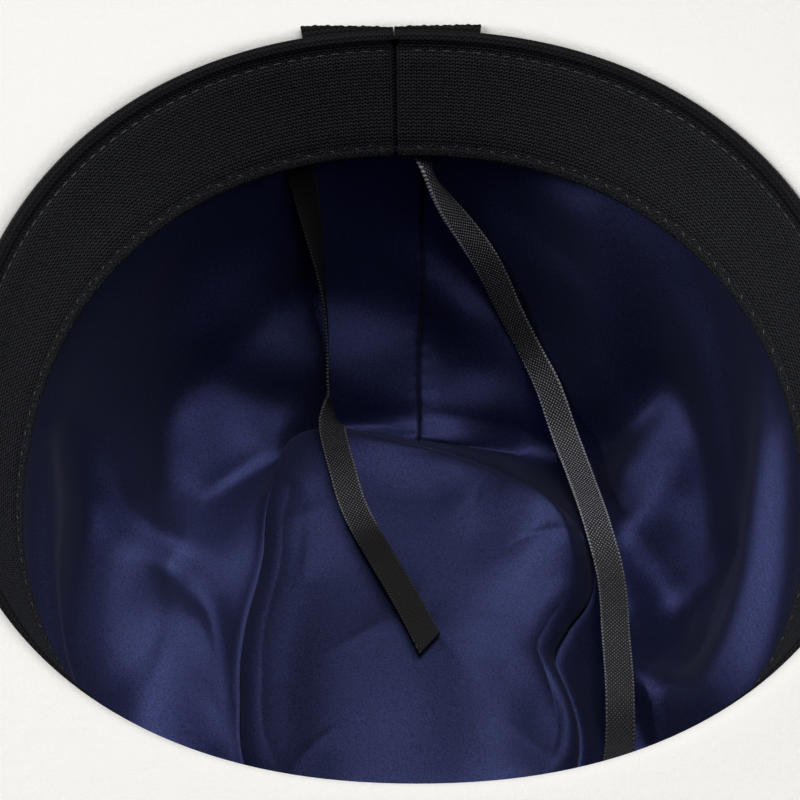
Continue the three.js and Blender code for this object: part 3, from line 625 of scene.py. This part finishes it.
def ribbon_grid(route, width, thickness):
    """Points round the ribbon's section at each step along it, its centreline, section and the painted
    highlight of its floats.
    """
    centre = through_all([row[:3] for row in route], RIBBON_STEPS)
    along = unit(np.gradient(centre, axis=0))
    turns = [Turn(index, *row[3:]) for index, row in enumerate(route)]
    steps = np.linspace(0, len(route) - 1, RIBBON_STEPS)
    _, turn, lean, cup, painted_highlight = np.moveaxis(read_table(turns, "index", steps), -1, 0)
    turn, lean = np.radians(turn), np.radians(lean)
    wanted = np.stack([np.cos(lean) * np.sin(turn), -np.cos(lean) * np.cos(turn), np.sin(lean)], -1)
    across = unit(np.cross(along, wanted))
    facing = np.cross(across, along)
    side = np.linspace(-1, 1, RIBBON_ACROSS)
    edge = 1 + RIBBON_EDGE["thicker"] * np.exp(-(((1 - np.abs(side)) / RIBBON_EDGE["share"]) ** 2))
    section = np.array([*zip(side, edge), *zip(side[::-1], -edge[::-1])])
    bend = np.radians(cup)[:, None] * section[None, :, 0]
    out = section[None, :, 0] * width / 2 * np.cos(bend / 2)
    rise = -np.abs(section[None, :, 0]) * width / 2 * np.sin(np.abs(bend) / 2)
    rise = rise + section[None, :, 1] * thickness / 2
    points = centre[:, None] + across[:, None] * out[..., None] + facing[:, None] * rise[..., None]
    to_end = np.linspace(running_length(centre)[-1], 0, RIBBON_STEPS)
    cut = RIBBON_CUT * fade(-to_end, -2 * RIBBON_CUT, 0)
    points += along[:, None] * (cut[:, None] * section[None, :, 0])[..., None]
    return points, centre, section, painted_highlight


# ---- Making meshes ----

def settle(obj):
    """Selects one object alone, as the operators need."""
    if bpy.context.object and bpy.context.object.mode != "OBJECT":
        bpy.ops.object.mode_set(mode="OBJECT")
    bpy.ops.object.select_all(action="DESELECT")
    obj.select_set(True)
    bpy.context.view_layer.objects.active = obj


def edit(obj, action):
    """Opens one object for editing, with its mesh selected or deselected."""
    settle(obj)
    bpy.ops.object.mode_set(mode="EDIT")
    bpy.ops.mesh.select_all(action=action)


def apply_modifiers(obj):
    settle(obj)
    for modifier in list(obj.modifiers):
        bpy.ops.object.modifier_apply(modifier=modifier.name)


def mesh_object(name, points, faces, corner_uvs=None):
    """A mesh of points in millimetres; corner_uvs are millimetres along the cloth, a face at a time."""
    mesh = bpy.data.meshes.new(name)
    places = np.asarray(points).reshape(-1, 3) * MM
    mesh.from_pydata(places.tolist(), [], [list(map(int, face)) for face in faces])
    if corner_uvs is not None:
        layer = mesh.uv_layers.new(name="Cloth")
        layer.data.foreach_set("uv", np.asarray(corner_uvs, np.float32).ravel())
    mesh.update()
    obj = bpy.data.objects.new(name, mesh)
    bpy.context.scene.collection.objects.link(obj)
    mesh.shade_smooth()
    return obj


def grid_faces(rows, columns, closed):
    """Corners of each square of a grid, as (row, column) with the column not yet wrapped."""
    across = columns if closed else columns - 1
    r, c = np.indices((rows - 1, across)).reshape(2, -1)
    return np.stack([r, r + 1, r + 1, r], 1), np.stack([c, c, c + 1, c + 1], 1)


def cloth_grid(name, grid, u, v, closed):
    """Cloth through a grid of points, with its seen face towards the hollow of the hat."""
    rows, columns = grid.shape[:2]
    r, c = grid_faces(rows, columns, closed)
    faces = r * columns + c % columns
    return mesh_object(name, grid, faces, np.stack([u[r, c], v[r, c]], -1))


def thicken(obj, thickness):
    """Gives a sheet its thickness behind its seen face."""
    solidify = obj.modifiers.new("Cloth", "SOLIDIFY")
    solidify.thickness = thickness
    solidify.offset = -1
    solidify.use_even_offset = False
    apply_modifiers(obj)


def finish_piece(obj, material, slot, *nodes):
    obj.data.materials.clear()
    obj.data.materials.append(material)
    if nodes:
        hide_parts(*nodes)
    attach(obj, BODY)
    return obj


# ---- Materials ----

class NodeSheet:
    """Short ways to add shader nodes to one tree."""

    def __init__(self, tree):
        self.tree = tree

    def add(self, kind, **settings):
        node = self.tree.nodes.new(kind)
        for name, value in settings.items():
            setattr(node, name, value)
        return node

    def put(self, value, socket):
        if isinstance(value, bpy.types.NodeSocket):
            self.tree.links.new(value, socket)
        else:
            socket.default_value = value

    def parts(self, vector):
        node = self.add("ShaderNodeSeparateXYZ")
        self.put(vector, node.inputs[0])
        return node.outputs

    def enlarged(self, vector, factor):
        node = self.add("ShaderNodeVectorMath", operation="SCALE")
        self.put(vector, node.inputs[0])
        self.put(factor, node.inputs["Scale"])
        return node.outputs[0]

    def math(self, operation, *values, clamp=False):
        node = self.add("ShaderNodeMath", operation=operation, use_clamp=clamp)
        for value, socket in zip(values, node.inputs):
            self.put(value, socket)
        return node.outputs[0]

    def scaled(self, value, low, high):
        """A 0 to 1 value spread from low to high."""
        return self.math("MULTIPLY_ADD", value, high - low, low)

    def rising(self, value, start, length):
        """0 up to start, and 1 after a length past it."""
        return self.math("MULTIPLY_ADD", value, 1 / length, -start / length, clamp=True)

    def mix(self, factor, first, second):
        node = self.add("ShaderNodeMix", data_type="RGBA")
        for value, place in ((factor, 0), (first, 6), (second, 7)):
            self.put(value, node.inputs[place])
        return node.outputs[2]

    def noise(self, vector, scale, detail, roughness):
        node = self.add("ShaderNodeTexNoise")
        self.put(vector, node.inputs["Vector"])
        node.inputs["Scale"].default_value = scale
        node.inputs["Detail"].default_value = detail
        node.inputs["Roughness"].default_value = roughness
        return node.outputs["Fac"]

    def bump(self, height, strength, distance):
        node = self.add("ShaderNodeBump")
        self.put(height, node.inputs["Height"])
        node.inputs["Strength"].default_value = strength
        node.inputs["Distance"].default_value = distance
        return node.outputs["Normal"]

    def dress(self, shader, tone, **finishes):
        """The colour of a surface and its other finishes, each a value or a pattern."""
        self.put(tone, shader.inputs["Base Color"])
        for name, value in finishes.items():
            self.put(value, shader.inputs[name.replace("_", " ")])

    def group(self, group, **values):
        node = self.add("ShaderNodeGroup", node_tree=group)
        for name, value in values.items():
            self.put(value, node.inputs[name])
        return node.outputs


def node_group(name, inputs, outputs):
    group = bpy.data.node_groups.new(name, "ShaderNodeTree")
    for label, kind, default in inputs:
        socket = group.interface.new_socket(label, in_out="INPUT", socket_type=kind)
        if default is not None:
            socket.default_value = default
    for label in outputs:
        group.interface.new_socket(label, in_out="OUTPUT", socket_type="NodeSocketFloat")
    sheet = NodeSheet(group)
    entry = sheet.add("NodeGroupInput")
    leave = sheet.add("NodeGroupOutput")
    return group, sheet, entry.outputs, leave.inputs


UNTURNED = 1000.0  # a column too wide for the weave to turn back on a piece


def weave_group():
    """Diagonal floats of a twill, turned back and forth in columns as a herringbone is."""
    if "Twill weave" in bpy.data.node_groups:
        return bpy.data.node_groups["Twill weave"]
    group, sheet, given, result = node_group(
        "Twill weave",
        [
            ("Cloth", "NodeSocketVector", None),
            ("Column", "NodeSocketFloat", 0.7),
            ("Pitch", "NodeSocketFloat", 0.8),
            ("Slant", "NodeSocketFloat", 0.5),
        ],
        ["Floats", "Columns"],
    )
    parts = sheet.parts(given["Cloth"])
    wave = sheet.math("PINGPONG", parts["X"], given["Column"])
    slanted = sheet.math("MULTIPLY_ADD", wave, given["Slant"], parts["Y"])
    turns = sheet.math("MULTIPLY", sheet.math("DIVIDE", slanted, given["Pitch"]), 2 * math.pi)
    sheet.put(sheet.math("MULTIPLY_ADD", sheet.math("SINE", turns), 0.5, 0.5), result["Floats"])
    share = sheet.math("DIVIDE", wave, given["Column"])
    from_middle = sheet.math("ABSOLUTE", sheet.math("MULTIPLY_ADD", share, 2.0, -1.0))
    sheet.put(sheet.math("SUBTRACT", 1.0, sheet.math("POWER", from_middle, 4.0)), result["Columns"])
    return group


def fibre_group():
    """Fine uneven fibres: a coarse mottle and a fine grain, both 0 to 1."""
    if "Fibre grain" in bpy.data.node_groups:
        return bpy.data.node_groups["Fibre grain"]
    group, sheet, given, result = node_group(
        "Fibre grain",
        [("Place", "NodeSocketVector", None), ("Fine", "NodeSocketFloat", 1.0)],
        ["Grain", "Mottle"],
    )
    place = sheet.enlarged(given["Place"], given["Fine"])
    sheet.put(sheet.noise(place, 1.0, 3.0, 0.6), result["Grain"])
    sheet.put(sheet.noise(place, 0.17, 2.0, 0.5), result["Mottle"])
    return group


def new_material(name):
    material = bpy.data.materials.new(name)
    material.use_nodes = True
    sheet = NodeSheet(material.node_tree)
    shader = material.node_tree.nodes["Principled BSDF"]
    coordinates = sheet.add("ShaderNodeTexCoord")
    return material, sheet, shader, coordinates.outputs


def object_space(sheet, places):
    """Millimetres in the hat's own space."""
    return sheet.enlarged(places["Object"], 1 / MM)


def shade(colour, factor):
    return tuple(channel * factor for channel in colour) + (1.0,)


def felt_material(colour):
    """Brushed wool felt: a soft nap over an uneven ground."""
    material, sheet, shader, places = new_material("Cream felt")
    space = object_space(sheet, places)
    nap = sheet.group(fibre_group(), Place=space, Fine=2.6)
    ground = sheet.group(fibre_group(), Place=space, Fine=0.5)
    tone = sheet.mix(sheet.scaled(nap["Grain"], 0.1, 0.9), shade(colour, 0.95), shade(colour, 1.04))
    tone = sheet.mix(sheet.scaled(ground["Mottle"], 0.0, 0.5), tone, shade(colour, 0.975))
    height = sheet.math("MULTIPLY_ADD", nap["Grain"], 0.5, ground["Grain"])
    sheet.dress(
        shader, tone, Normal=sheet.bump(height, 0.55, 0.35 * MM), Roughness=0.95,
        Specular_IOR_Level=0.15, Sheen_Weight=0.25, Sheen_Roughness=0.6,
    )
    return material


def satin_material(name, colour, pitch, slant, roughness):
    """Satin with fine diagonal floats and a soft broad gloss."""
    material, sheet, shader, places = new_material(name)
    cloth = places["UV"]
    weave = sheet.group(weave_group(), Cloth=cloth, Column=UNTURNED, Pitch=pitch, Slant=slant)
    grain = sheet.group(fibre_group(), Place=object_space(sheet, places), Fine=3.0)
    fuzz = sheet.scaled(grain["Grain"], -0.65, 1.45)
    speck = sheet.math("MULTIPLY_ADD", weave["Floats"], 0.3, fuzz, clamp=True)
    tone = sheet.mix(speck, shade(colour, 0.3), shade(colour, 1.75))
    height = sheet.math("MULTIPLY_ADD", weave["Floats"], 0.4, grain["Grain"])
    sheet.dress(
        shader, tone, Normal=sheet.bump(height, 0.5, 0.1 * MM),
        Roughness=sheet.scaled(grain["Grain"], roughness, roughness + 0.14),
        Metallic=0.83, Specular_IOR_Level=0.3, Sheen_Weight=0.04, Sheen_Roughness=0.6,
    )
    return material


def twill_material(name, colour):
    """Matt black herringbone tape, speckled along its hem; on its rolled edge its pattern is drawn
    fainter and darker as painted shade.
    """
    material, sheet, shader, places = new_material(name)
    cloth = places["UV"]
    parts = sheet.parts(cloth)
    weave = sheet.group(weave_group(), Cloth=cloth, Column=0.62, Pitch=0.79, Slant=0.75)
    grain = sheet.group(fibre_group(), Place=object_space(sheet, places), Fine=2.2)
    specks = sheet.group(fibre_group(), Place=cloth, Fine=2.8)
    flat = sheet.rising(parts["Y"], ROLL_END, ROLL_FADE)
    hem = sheet.rising(parts["Y"], HEM_START, HEM_FADE)
    columns = sheet.scaled(weave["Columns"], -0.2, 1.15)
    relief = sheet.math("MULTIPLY", weave["Floats"], columns, clamp=True)
    rough = sheet.math("MULTIPLY_ADD", specks["Grain"], 4.2, -1.75, clamp=True)
    relief = sheet.math("MULTIPLY_ADD", hem, sheet.math("SUBTRACT", rough, relief), relief)
    speck = sheet.math("MULTIPLY", relief, sheet.scaled(grain["Grain"], -1.1, 3.1), clamp=True)
    # Painted shade: over the rolled edge the speckle, and so the tone, is cut to 0.3.
    speck = sheet.math("MULTIPLY", speck, sheet.scaled(flat, 0.3, 1.0))
    tone = sheet.mix(speck, shade(colour, 0.1), shade(colour, 3.0))
    height = sheet.math("MULTIPLY_ADD", grain["Grain"], 0.35, relief)
    sheet.dress(
        shader, tone, Normal=sheet.bump(height, 0.7, 0.22 * MM), Roughness=0.75,
        Specular_IOR_Level=0.12,
    )
    return material


def thread_material(colour):
    """Black sewing thread with a slight gloss, its colour varying at random and drawn up to 3.6 times
    the twill's as painted glints.
    """
    material, sheet, shader, places = new_material("Black thread")
    grain = sheet.group(fibre_group(), Place=object_space(sheet, places), Fine=5.0)
    # Painted glints: the thread is drawn lighter than the black twill it lies on, varying at random.
    tone = sheet.mix(grain["Grain"], shade(colour, 0.5), shade(colour, 3.6))
    sheet.dress(shader, tone, Roughness=0.42, Specular_IOR_Level=0.7)
    return material


def ribbon_material(name, colour):
    """Woven black ribbon: rows of small floats over slanted ribs, and beaded edges; floats and beads
    are drawn bright as painted glints.
    """
    material, sheet, shader, places = new_material(name)
    cloth = places["UV"]
    parts = sheet.parts(cloth)
    rising = sheet.group(weave_group(), Cloth=cloth, Column=UNTURNED, Pitch=0.8, Slant=0.8)
    falling = sheet.group(weave_group(), Cloth=cloth, Column=UNTURNED, Pitch=0.85, Slant=-0.9)
    ribs = sheet.group(weave_group(), Cloth=cloth, Column=UNTURNED, Pitch=0.25, Slant=0.36)
    grain = sheet.group(fibre_group(), Place=cloth, Fine=2.6)
    dots = sheet.math("MULTIPLY", rising["Floats"], falling["Floats"])
    floats = sheet.math("POWER", dots, 2.6)
    from_middle = sheet.math("ABSOLUTE", parts["Y"])
    edge = sheet.math("MULTIPLY", sheet.math("SUBTRACT", from_middle, 2.6), 4.0, clamp=True)
    beads = sheet.math("SINE", sheet.math("MULTIPLY", parts["X"], 7.0))
    beads = sheet.math("MULTIPLY_ADD", beads, 0.5, 0.5)
    woven = sheet.math("MULTIPLY_ADD", edge, sheet.math("SUBTRACT", beads, floats), floats)
    speck = sheet.math("MULTIPLY", woven, sheet.scaled(grain["Grain"], -1.4, 3.6), clamp=True)
    # Painted highlight: each stretch's floats are drawn brighter by the value that its route gives.
    painted_highlight = sheet.add("ShaderNodeAttribute")
    painted_highlight.attribute_name = "Shine"
    speck = sheet.math("MULTIPLY", speck, painted_highlight.outputs["Fac"])
    speck = sheet.math("MULTIPLY_ADD", ribs["Floats"], 0.09, speck)
    # Painted glints: floats and beads are drawn up to 42 times as bright as the ribbon's black.
    tone = sheet.mix(speck, shade(colour, 0.2), shade(colour, 42.0))
    height = sheet.math("MULTIPLY_ADD", grain["Grain"], 0.25, woven)
    sheet.dress(
        shader, tone, Normal=sheet.bump(height, 0.8, 0.2 * MM),
        Roughness=sheet.scaled(woven, 0.6, 0.45), Specular_IOR_Level=0.12,
    )
    return material


def floor_material(colour):
    material, sheet, shader, places = new_material("Studio floor")
    grain = sheet.group(fibre_group(), Place=object_space(sheet, places), Fine=0.02)
    tone = sheet.mix(grain["Grain"], shade(colour, 0.99), shade(colour, 1.01))
    sheet.dress(shader, tone, Roughness=0.85)
    return material


# ---- Operators ----

class FEDORA_OT_camera(bpy.types.Operator):
    """Sets the camera over the head opening, 45 degrees down"""

    bl_idname = "fedora.camera"
    bl_label = "Camera"

    def execute(self, context):
        target = Vector((*CAMERA["target"], OPENING_HEIGHT)) * MM
        elevation, distance = math.radians(CAMERA["elevation"]), CAMERA["distance"] * MM
        data = bpy.data.cameras.new("Camera")
        camera = bpy.data.objects.new("Camera", data)
        context.scene.collection.objects.link(camera)
        camera.location = target + distance * Vector((0, -math.cos(elevation), math.sin(elevation)))
        camera.rotation_euler = (math.pi / 2 - elevation, 0, 0)
        data.sensor_width = CAMERA["sensor"]
        data.lens = CAMERA["lens"]
        data.clip_start = CLIP_START * MM
        context.scene.camera = camera
        return {"FINISHED"}


class FEDORA_OT_ribbons(bpy.types.Operator):
    """Makes the two loose ribbons along their routes"""

    bl_idname = "fedora.ribbons"
    bl_label = "Ribbons"

    def execute(self, context):
        sizes, colours = context.scene.fedora_sizes, context.scene.fedora_colours
        for node, route, tone in RIBBONS:
            # Each ribbon's black is scaled by its own factor; the left one's lower factor is painted
            # shade.
            material = ribbon_material("Black " + node, shade(colours.ribbon, tone)[:3])
            points, centre, section, painted_highlight = ribbon_grid(
                route, sizes.ribbon_width / MM, sizes.ribbon_thickness / MM
            )
            length = running_length(centre)
            count = len(section)
            weave = section[:, 0] * RIBBON_WEAVE_HALF
            faces, uvs = [], []
            for i in range(len(points) - 1):
                for j in range(count):
                    k = (j + 1) % count
                    near, far = i * count, (i + 1) * count
                    faces.append((near + j, near + k, far + k, far + j))
                    here, there = weave[j], weave[k]
                    before, after = length[i], length[i + 1]
                    uvs += [(before, here), (before, there), (after, there), (after, here)]
            for i, order in ((0, 1), (len(points) - 1, -1)):
                cap = [i * count + j for j in range(count)][::order]
                faces.append(cap)
                uvs += [(length[i], weave[j % count]) for j in cap]
            ribbon = mesh_object(node + "_woven", points, faces, uvs)
            # Each stretch's painted highlight, for the material to read.
            painted_highlights = ribbon.data.attributes.new("Shine", "FLOAT", "POINT")
            painted_highlights.data.foreach_set("value", np.repeat(painted_highlight, count))
            edit(ribbon, "SELECT")
            bpy.ops.mesh.normals_make_consistent(inside=False)
            bpy.ops.object.mode_set(mode="OBJECT")
            finish_piece(ribbon, material, "black_ribbon", node)
        return {"FINISHED"}


class FEDORA_OT_felt_body(bpy.types.Operator):
    """Makes the felt crown and brim as one smooth wall"""

    bl_idname = "fedora.felt_body"
    bl_label = "Felt body"

    def execute(self, context):
        settle(frame["nodes"]["felt_body"])
        bpy.ops.object.duplicate()
        felt = context.object
        felt.name = "felt_crown_and_brim"
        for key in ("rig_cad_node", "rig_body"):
            if key in felt:
                del felt[key]
        bpy.ops.object.parent_clear(type="CLEAR_KEEP_TRANSFORM")
        edit(felt, "SELECT")
        bpy.ops.mesh.remove_doubles(threshold=MERGE_DISTANCE)
        bpy.ops.mesh.tris_convert_to_quads(face_threshold=math.pi, shape_threshold=math.pi)
        bpy.ops.mesh.customdata_custom_splitnormals_clear()
        bpy.ops.object.mode_set(mode="OBJECT")
        subdivision = felt.modifiers.new("Smooth felt", "SUBSURF")
        subdivision.levels = subdivision.render_levels = FELT_SUBDIVISIONS
        apply_modifiers(felt)
        felt.data.shade_smooth()
        material = felt_material(context.scene.fedora_colours.felt)
        finish_piece(felt, material, "cream_felt", "felt_body")
        return {"FINISHED"}


class FEDORA_OT_sweatband(bpy.types.Operator):
    """Makes the twill sweatband, its stitches and the two seam tabs"""

    bl_idname = "fedora.sweatband"
    bl_label = "Sweatband"

    def execute(self, context):
        sizes, colours = context.scene.fedora_sizes, context.scene.fedora_colours
        twill = twill_material("Black twill", colours.twill)
        thread = thread_material(colours.twill)
        band = self.band(sizes, twill)
        stitches = self.stitches(sizes, thread)
        # The tabs' twill is drawn at 0.9 of the band's colour: painted shade, as the lamps behind light
        # their outer face.
        tape = twill_material("Black twill with painted shade", shade(colours.twill, 0.9)[:3])
        tabs = [self.tab(name, tab, tape) for name, tab in TABS.items()]
        return {"FINISHED"}

    def band(self, sizes, material):
        half_gap = math.degrees(BAND_HALF_GAP / BAND_TOP["half_length"])
        start, end = BAND_SEAM_ANGLE + half_gap, BAND_SEAM_ANGLE + 360 - half_gap
        angle = np.linspace(start, end, BAND_COLUMNS)
        from_seam = np.minimum(angle - angle[0], angle[-1] - angle) * BAND_DEGREE
        turned_in = SEAM_TURN["depth"] * np.exp(-((from_seam / SEAM_TURN["width"]) ** 2))
        profile = np.array(BAND_PROFILE)
        down, behind = profile[:, :1], profile[:, 1:]
        grid = band_point(angle, down, behind + turned_in * (down > SEAM_TURN["below"]))
        u = np.broadcast_to(oval_length(angle), grid.shape[:2])
        v = np.broadcast_to(running_length(profile)[:, None], grid.shape[:2])
        band = cloth_grid("sweatband_twill", grid, u, v, closed=False)
        thicken(band, sizes.band_thickness)
        return finish_piece(band, material, "black_twill", "sweatband")

    def stitches(self, sizes, material):
        bpy.ops.object.select_all(action="DESELECT")
        bpy.ops.mesh.primitive_uv_sphere_add(segments=8, ring_count=6, radius=sizes.thread_radius)
        pattern = bpy.context.object
        shape = np.array([vertex.co for vertex in pattern.data.vertices]) / MM
        shape_faces = [tuple(face.vertices) for face in pattern.data.polygons]
        bpy.data.objects.remove(pattern)
        points, faces = [], []
        radius = sizes.thread_radius / MM
        for row in STITCH_ROWS:
            angles = np.linspace(BAND_SEAM_ANGLE + 1, BAND_SEAM_ANGLE + 359, STITCH_SAMPLES)
            along = oval_length(angles)
            places = np.arange(STITCH_FROM_SEAM, along[-1] - STITCH_FROM_SEAM, row["pitch"])
            for n, place in enumerate(places):
                angle = np.interp(place, along, angles)
                lift = row["slant"] * (-1) ** n
                middle = band_point(angle, row["down"] + lift, STITCH_BEHIND)
                ahead = band_point(angle + 0.3, row["down"] + lift * 0.4, STITCH_BEHIND)
                forward = unit(ahead - middle)
                out = unit(np.array([-middle[0], -middle[1], 0.0]))
                side = unit(np.cross(forward, out))
                stretched = shape * [1, 1, row["length"] / 2 / radius]
                first = len(points) * len(shape)
                faces += [tuple(first + corner for corner in face) for face in shape_faces]
                placed = middle + stretched[:, :1] * side + stretched[:, 1:2] * out
                points.append(placed + stretched[:, 2:] * forward)
        stitches = mesh_object("sweatband_stitches", np.vstack(points), faces)
        return finish_piece(stitches, material, "black_twill")

    def tab(self, name, tab, material):
        angle = np.linspace(tab["start"], tab["end"], TAB_COLUMNS)
        share = np.linspace(0, 1, TAB_COLUMNS)
        reach = tab["reach_start"] + (tab["reach_end"] - tab["reach_start"]) * share
        reach = reach + TAB_WAVE["edge"] * (np.sin(share * 47) + np.sin(share * 83 + 1))
        up = np.linspace(1, 0, TAB_ROWS)[:, None] * reach
        behind = TAB_BEHIND + TAB_LEAN * up + TAB_WAVE["face"] * np.sin(share * 9)
        grid = band_point(angle, TAB_FOOT - up, behind)
        u = np.broadcast_to(oval_length(angle), grid.shape[:2])
        cloth = cloth_grid(name + "_twill", grid, u, -up, closed=False)
        thicken(cloth, TAB_THICKNESS * MM)
        return finish_piece(cloth, material, "black_twill", name)


class FEDORA_OT_lining_side_band(bpy.types.Operator):
    """Makes the satin band round the crown's wall with its folds"""

    bl_idname = "fedora.lining_side_band"
    bl_label = "Lining side band"

    def execute(self, context):
        sizes, colours = context.scene.fedora_sizes, context.scene.fedora_colours
        near_seam = SIDE_SEAM["angle"] + np.array(NEAR_SEAM) / DEGREE
        angle = np.linspace(0, 360, sizes.lining_columns, endpoint=False)
        apart = np.abs(angle - SIDE_SEAM["angle"]) > NEAR_SEAM_DEGREES
        angle = np.sort(np.concatenate([angle[apart], near_seam]))
        run = np.linspace(0, LINING_RUN, SIDE_ROWS)
        grid = folded_side(angle, run)
        grid -= grid_normals(grid, closed=True) * self.side_seam(angle, run)[..., None]
        grid[..., 2] -= SEAM_TUCK * fade(run, LINING_RUN - TUCK_RUN, LINING_RUN)[:, None]
        round_it = running_length(np.vstack([grid[SIDE_MEASURE_ROW], grid[SIDE_MEASURE_ROW, :1]]))
        u, v = np.broadcast_arrays(round_it, run[:, None])
        band = cloth_grid("lining_side_band_satin", grid, u, v, closed=True)
        thicken(band, sizes.cloth_thickness)
        material = satin_material("Navy satin", colours.satin, pitch=0.3, slant=0.6, roughness=0.36)
        finish_piece(band, material, "navy_satin", "lining_side_band")
        return {"FINISHED"}

    def side_seam(self, angle, run):
        """Depth of the seam down the back, with the small puckers that its stitches draw up."""
        aside = (angle - SIDE_SEAM["angle"]) * DEGREE
        groove = SIDE_SEAM["depth"] * np.exp(-((aside / SIDE_SEAM["width"]) ** 2))
        waves = np.cos(2 * np.pi * run / SIDE_SEAM["pitch"])[:, None]
        puckers = waves * np.exp(-((aside / PUCKER_WIDTH) ** 2))
        return groove[None, :] + SIDE_SEAM["pucker"] * puckers


class FEDORA_OT_lining_tip(bpy.types.Operator):
    """Makes the satin tip, pushed up over the crown's dent"""

    bl_idname = "fedora.lining_tip"
    bl_label = "Lining tip"

    def execute(self, context):
        sizes, colours = context.scene.fedora_sizes, context.scene.fedora_colours
        angle = np.linspace(0, 360, TIP_COLUMNS, endpoint=False)
        share = np.sqrt(np.linspace(TIP_CENTRE_AREA, 1, TIP_ROWS))[::-1]
        radius, height = seam_place(angle)
        reach = share[:, None] * (radius + TIP_OVERLAP)[None, :]
        x = TIP_MIDDLE[0] + reach * np.cos(np.radians(angle))
        y = TIP_MIDDLE[1] + reach * np.sin(np.radians(angle))
        top = OPENING_HEIGHT - TIP_DEPTH
        z = top - (top - height)[None, :] * share[:, None] ** TIP_SHOULDER_POWER
        grid = np.stack([x, y, z], -1)
        fading = np.clip((1 - share) / TIP_FOLD_FADE, 0, 1)[:, None]
        lift = fold_lift(grid, grid[..., :2], TIP_FOLDS, lambda places: places, (1, 1))
        grid[..., 2] += fading * lift
        wrap = lambda values: np.concatenate([values, values[:, :1]], axis=1)
        tip = cloth_grid("lining_tip_satin", grid, wrap(x + TIP_WEAVE_START), wrap(y), closed=True)
        edit(tip, "DESELECT")
        bpy.ops.object.mode_set(mode="OBJECT")
        first = (TIP_ROWS - 1) * TIP_COLUMNS
        for vertex in tip.data.vertices[first:first + TIP_COLUMNS]:
            vertex.select = True
        bpy.ops.object.mode_set(mode="EDIT")
        bpy.ops.mesh.edge_face_add()
        bpy.ops.mesh.poke()
        bpy.ops.object.mode_set(mode="OBJECT")
        tip.data.shade_smooth()
        thicken(tip, sizes.cloth_thickness)
        material = satin_material(
            "Navy satin tip", colours.tip_satin, pitch=0.34, slant=0.9, roughness=0.4
        )
        finish_piece(tip, material, "navy_satin_tip", "lining_tip")
        return {"FINISHED"}


class FEDORA_OT_stage(bpy.types.Operator):
    """Adds the pale floor and soft studio light"""

    bl_idname = "fedora.stage"
    bl_label = "Stage"

    def execute(self, context):
        bpy.ops.object.select_all(action="DESELECT")
        bpy.ops.mesh.primitive_plane_add(size=FLOOR_SIZE)
        floor = context.object
        floor.name = "studio_floor"
        floor.data.materials.append(floor_material(context.scene.fedora_colours.floor))
        floor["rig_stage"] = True
        for name, place, power in LIGHTS:
            self.softbox(context, name, Vector(place), power)
        world = bpy.data.worlds.new("Studio")
        world.use_nodes = True
        background = world.node_tree.nodes["Background"]
        background.inputs["Color"].default_value = (1, 1, 1, 1)
        background.inputs["Strength"].default_value = WORLD_LIGHT
        context.scene.world = world
        context.scene.view_settings.view_transform = "Standard"
        return {"FINISHED"}

    def softbox(self, context, name, place, power):
        data = bpy.data.lights.new(name, "AREA")
        data.shape = "SQUARE"
        data.size = LIGHT_SIZE
        data.energy = power
        light = bpy.data.objects.new(name, data)
        context.scene.collection.objects.link(light)
        light.location = place
        towards = Vector(LIGHT_TARGET) - place
        light.rotation_euler = towards.to_track_quat("-Z", "Y").to_euler()


STEPS = ("camera", "ribbons", "felt_body", "sweatband", "lining_side_band", "lining_tip", "stage")


class FEDORA_PT_panel(bpy.types.Panel):
    """Lists the pieces of the hat"""

    bl_idname = "FEDORA_PT_panel"
    bl_label = "Lined felt fedora"
    bl_space_type = "VIEW_3D"
    bl_region_type = "UI"
    bl_category = "Fedora"

    def draw(self, context):
        for step in STEPS:
            self.layout.operator("fedora." + step)
        for group in (context.scene.fedora_sizes, context.scene.fedora_colours):
            box = self.layout.box()
            for name in group.__annotations__:
                box.prop(group, name)


CLASSES = (
    FedoraSizes,
    FedoraColours,
    FEDORA_OT_camera,
    FEDORA_OT_ribbons,
    FEDORA_OT_felt_body,
    FEDORA_OT_sweatband,
    FEDORA_OT_lining_side_band,
    FEDORA_OT_lining_tip,
    FEDORA_OT_stage,
    FEDORA_PT_panel,
)


def register():
    for cls in CLASSES:
        bpy.utils.register_class(cls)
    bpy.types.Scene.fedora_sizes = PointerProperty(type=FedoraSizes)
    bpy.types.Scene.fedora_colours = PointerProperty(type=FedoraColours)


def unregister():
    del bpy.types.Scene.fedora_colours
    del bpy.types.Scene.fedora_sizes
    for cls in reversed(CLASSES):
        bpy.utils.unregister_class(cls)


def main():
    register()
    for step in STEPS:
        getattr(bpy.ops.fedora, step)()
    boxes = {"cad": CAD_BOX, "visual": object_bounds()}
    boxes = {name: [list(corner) for corner in box] for name, box in boxes.items()}


if __name__ == "__main__":
    main()
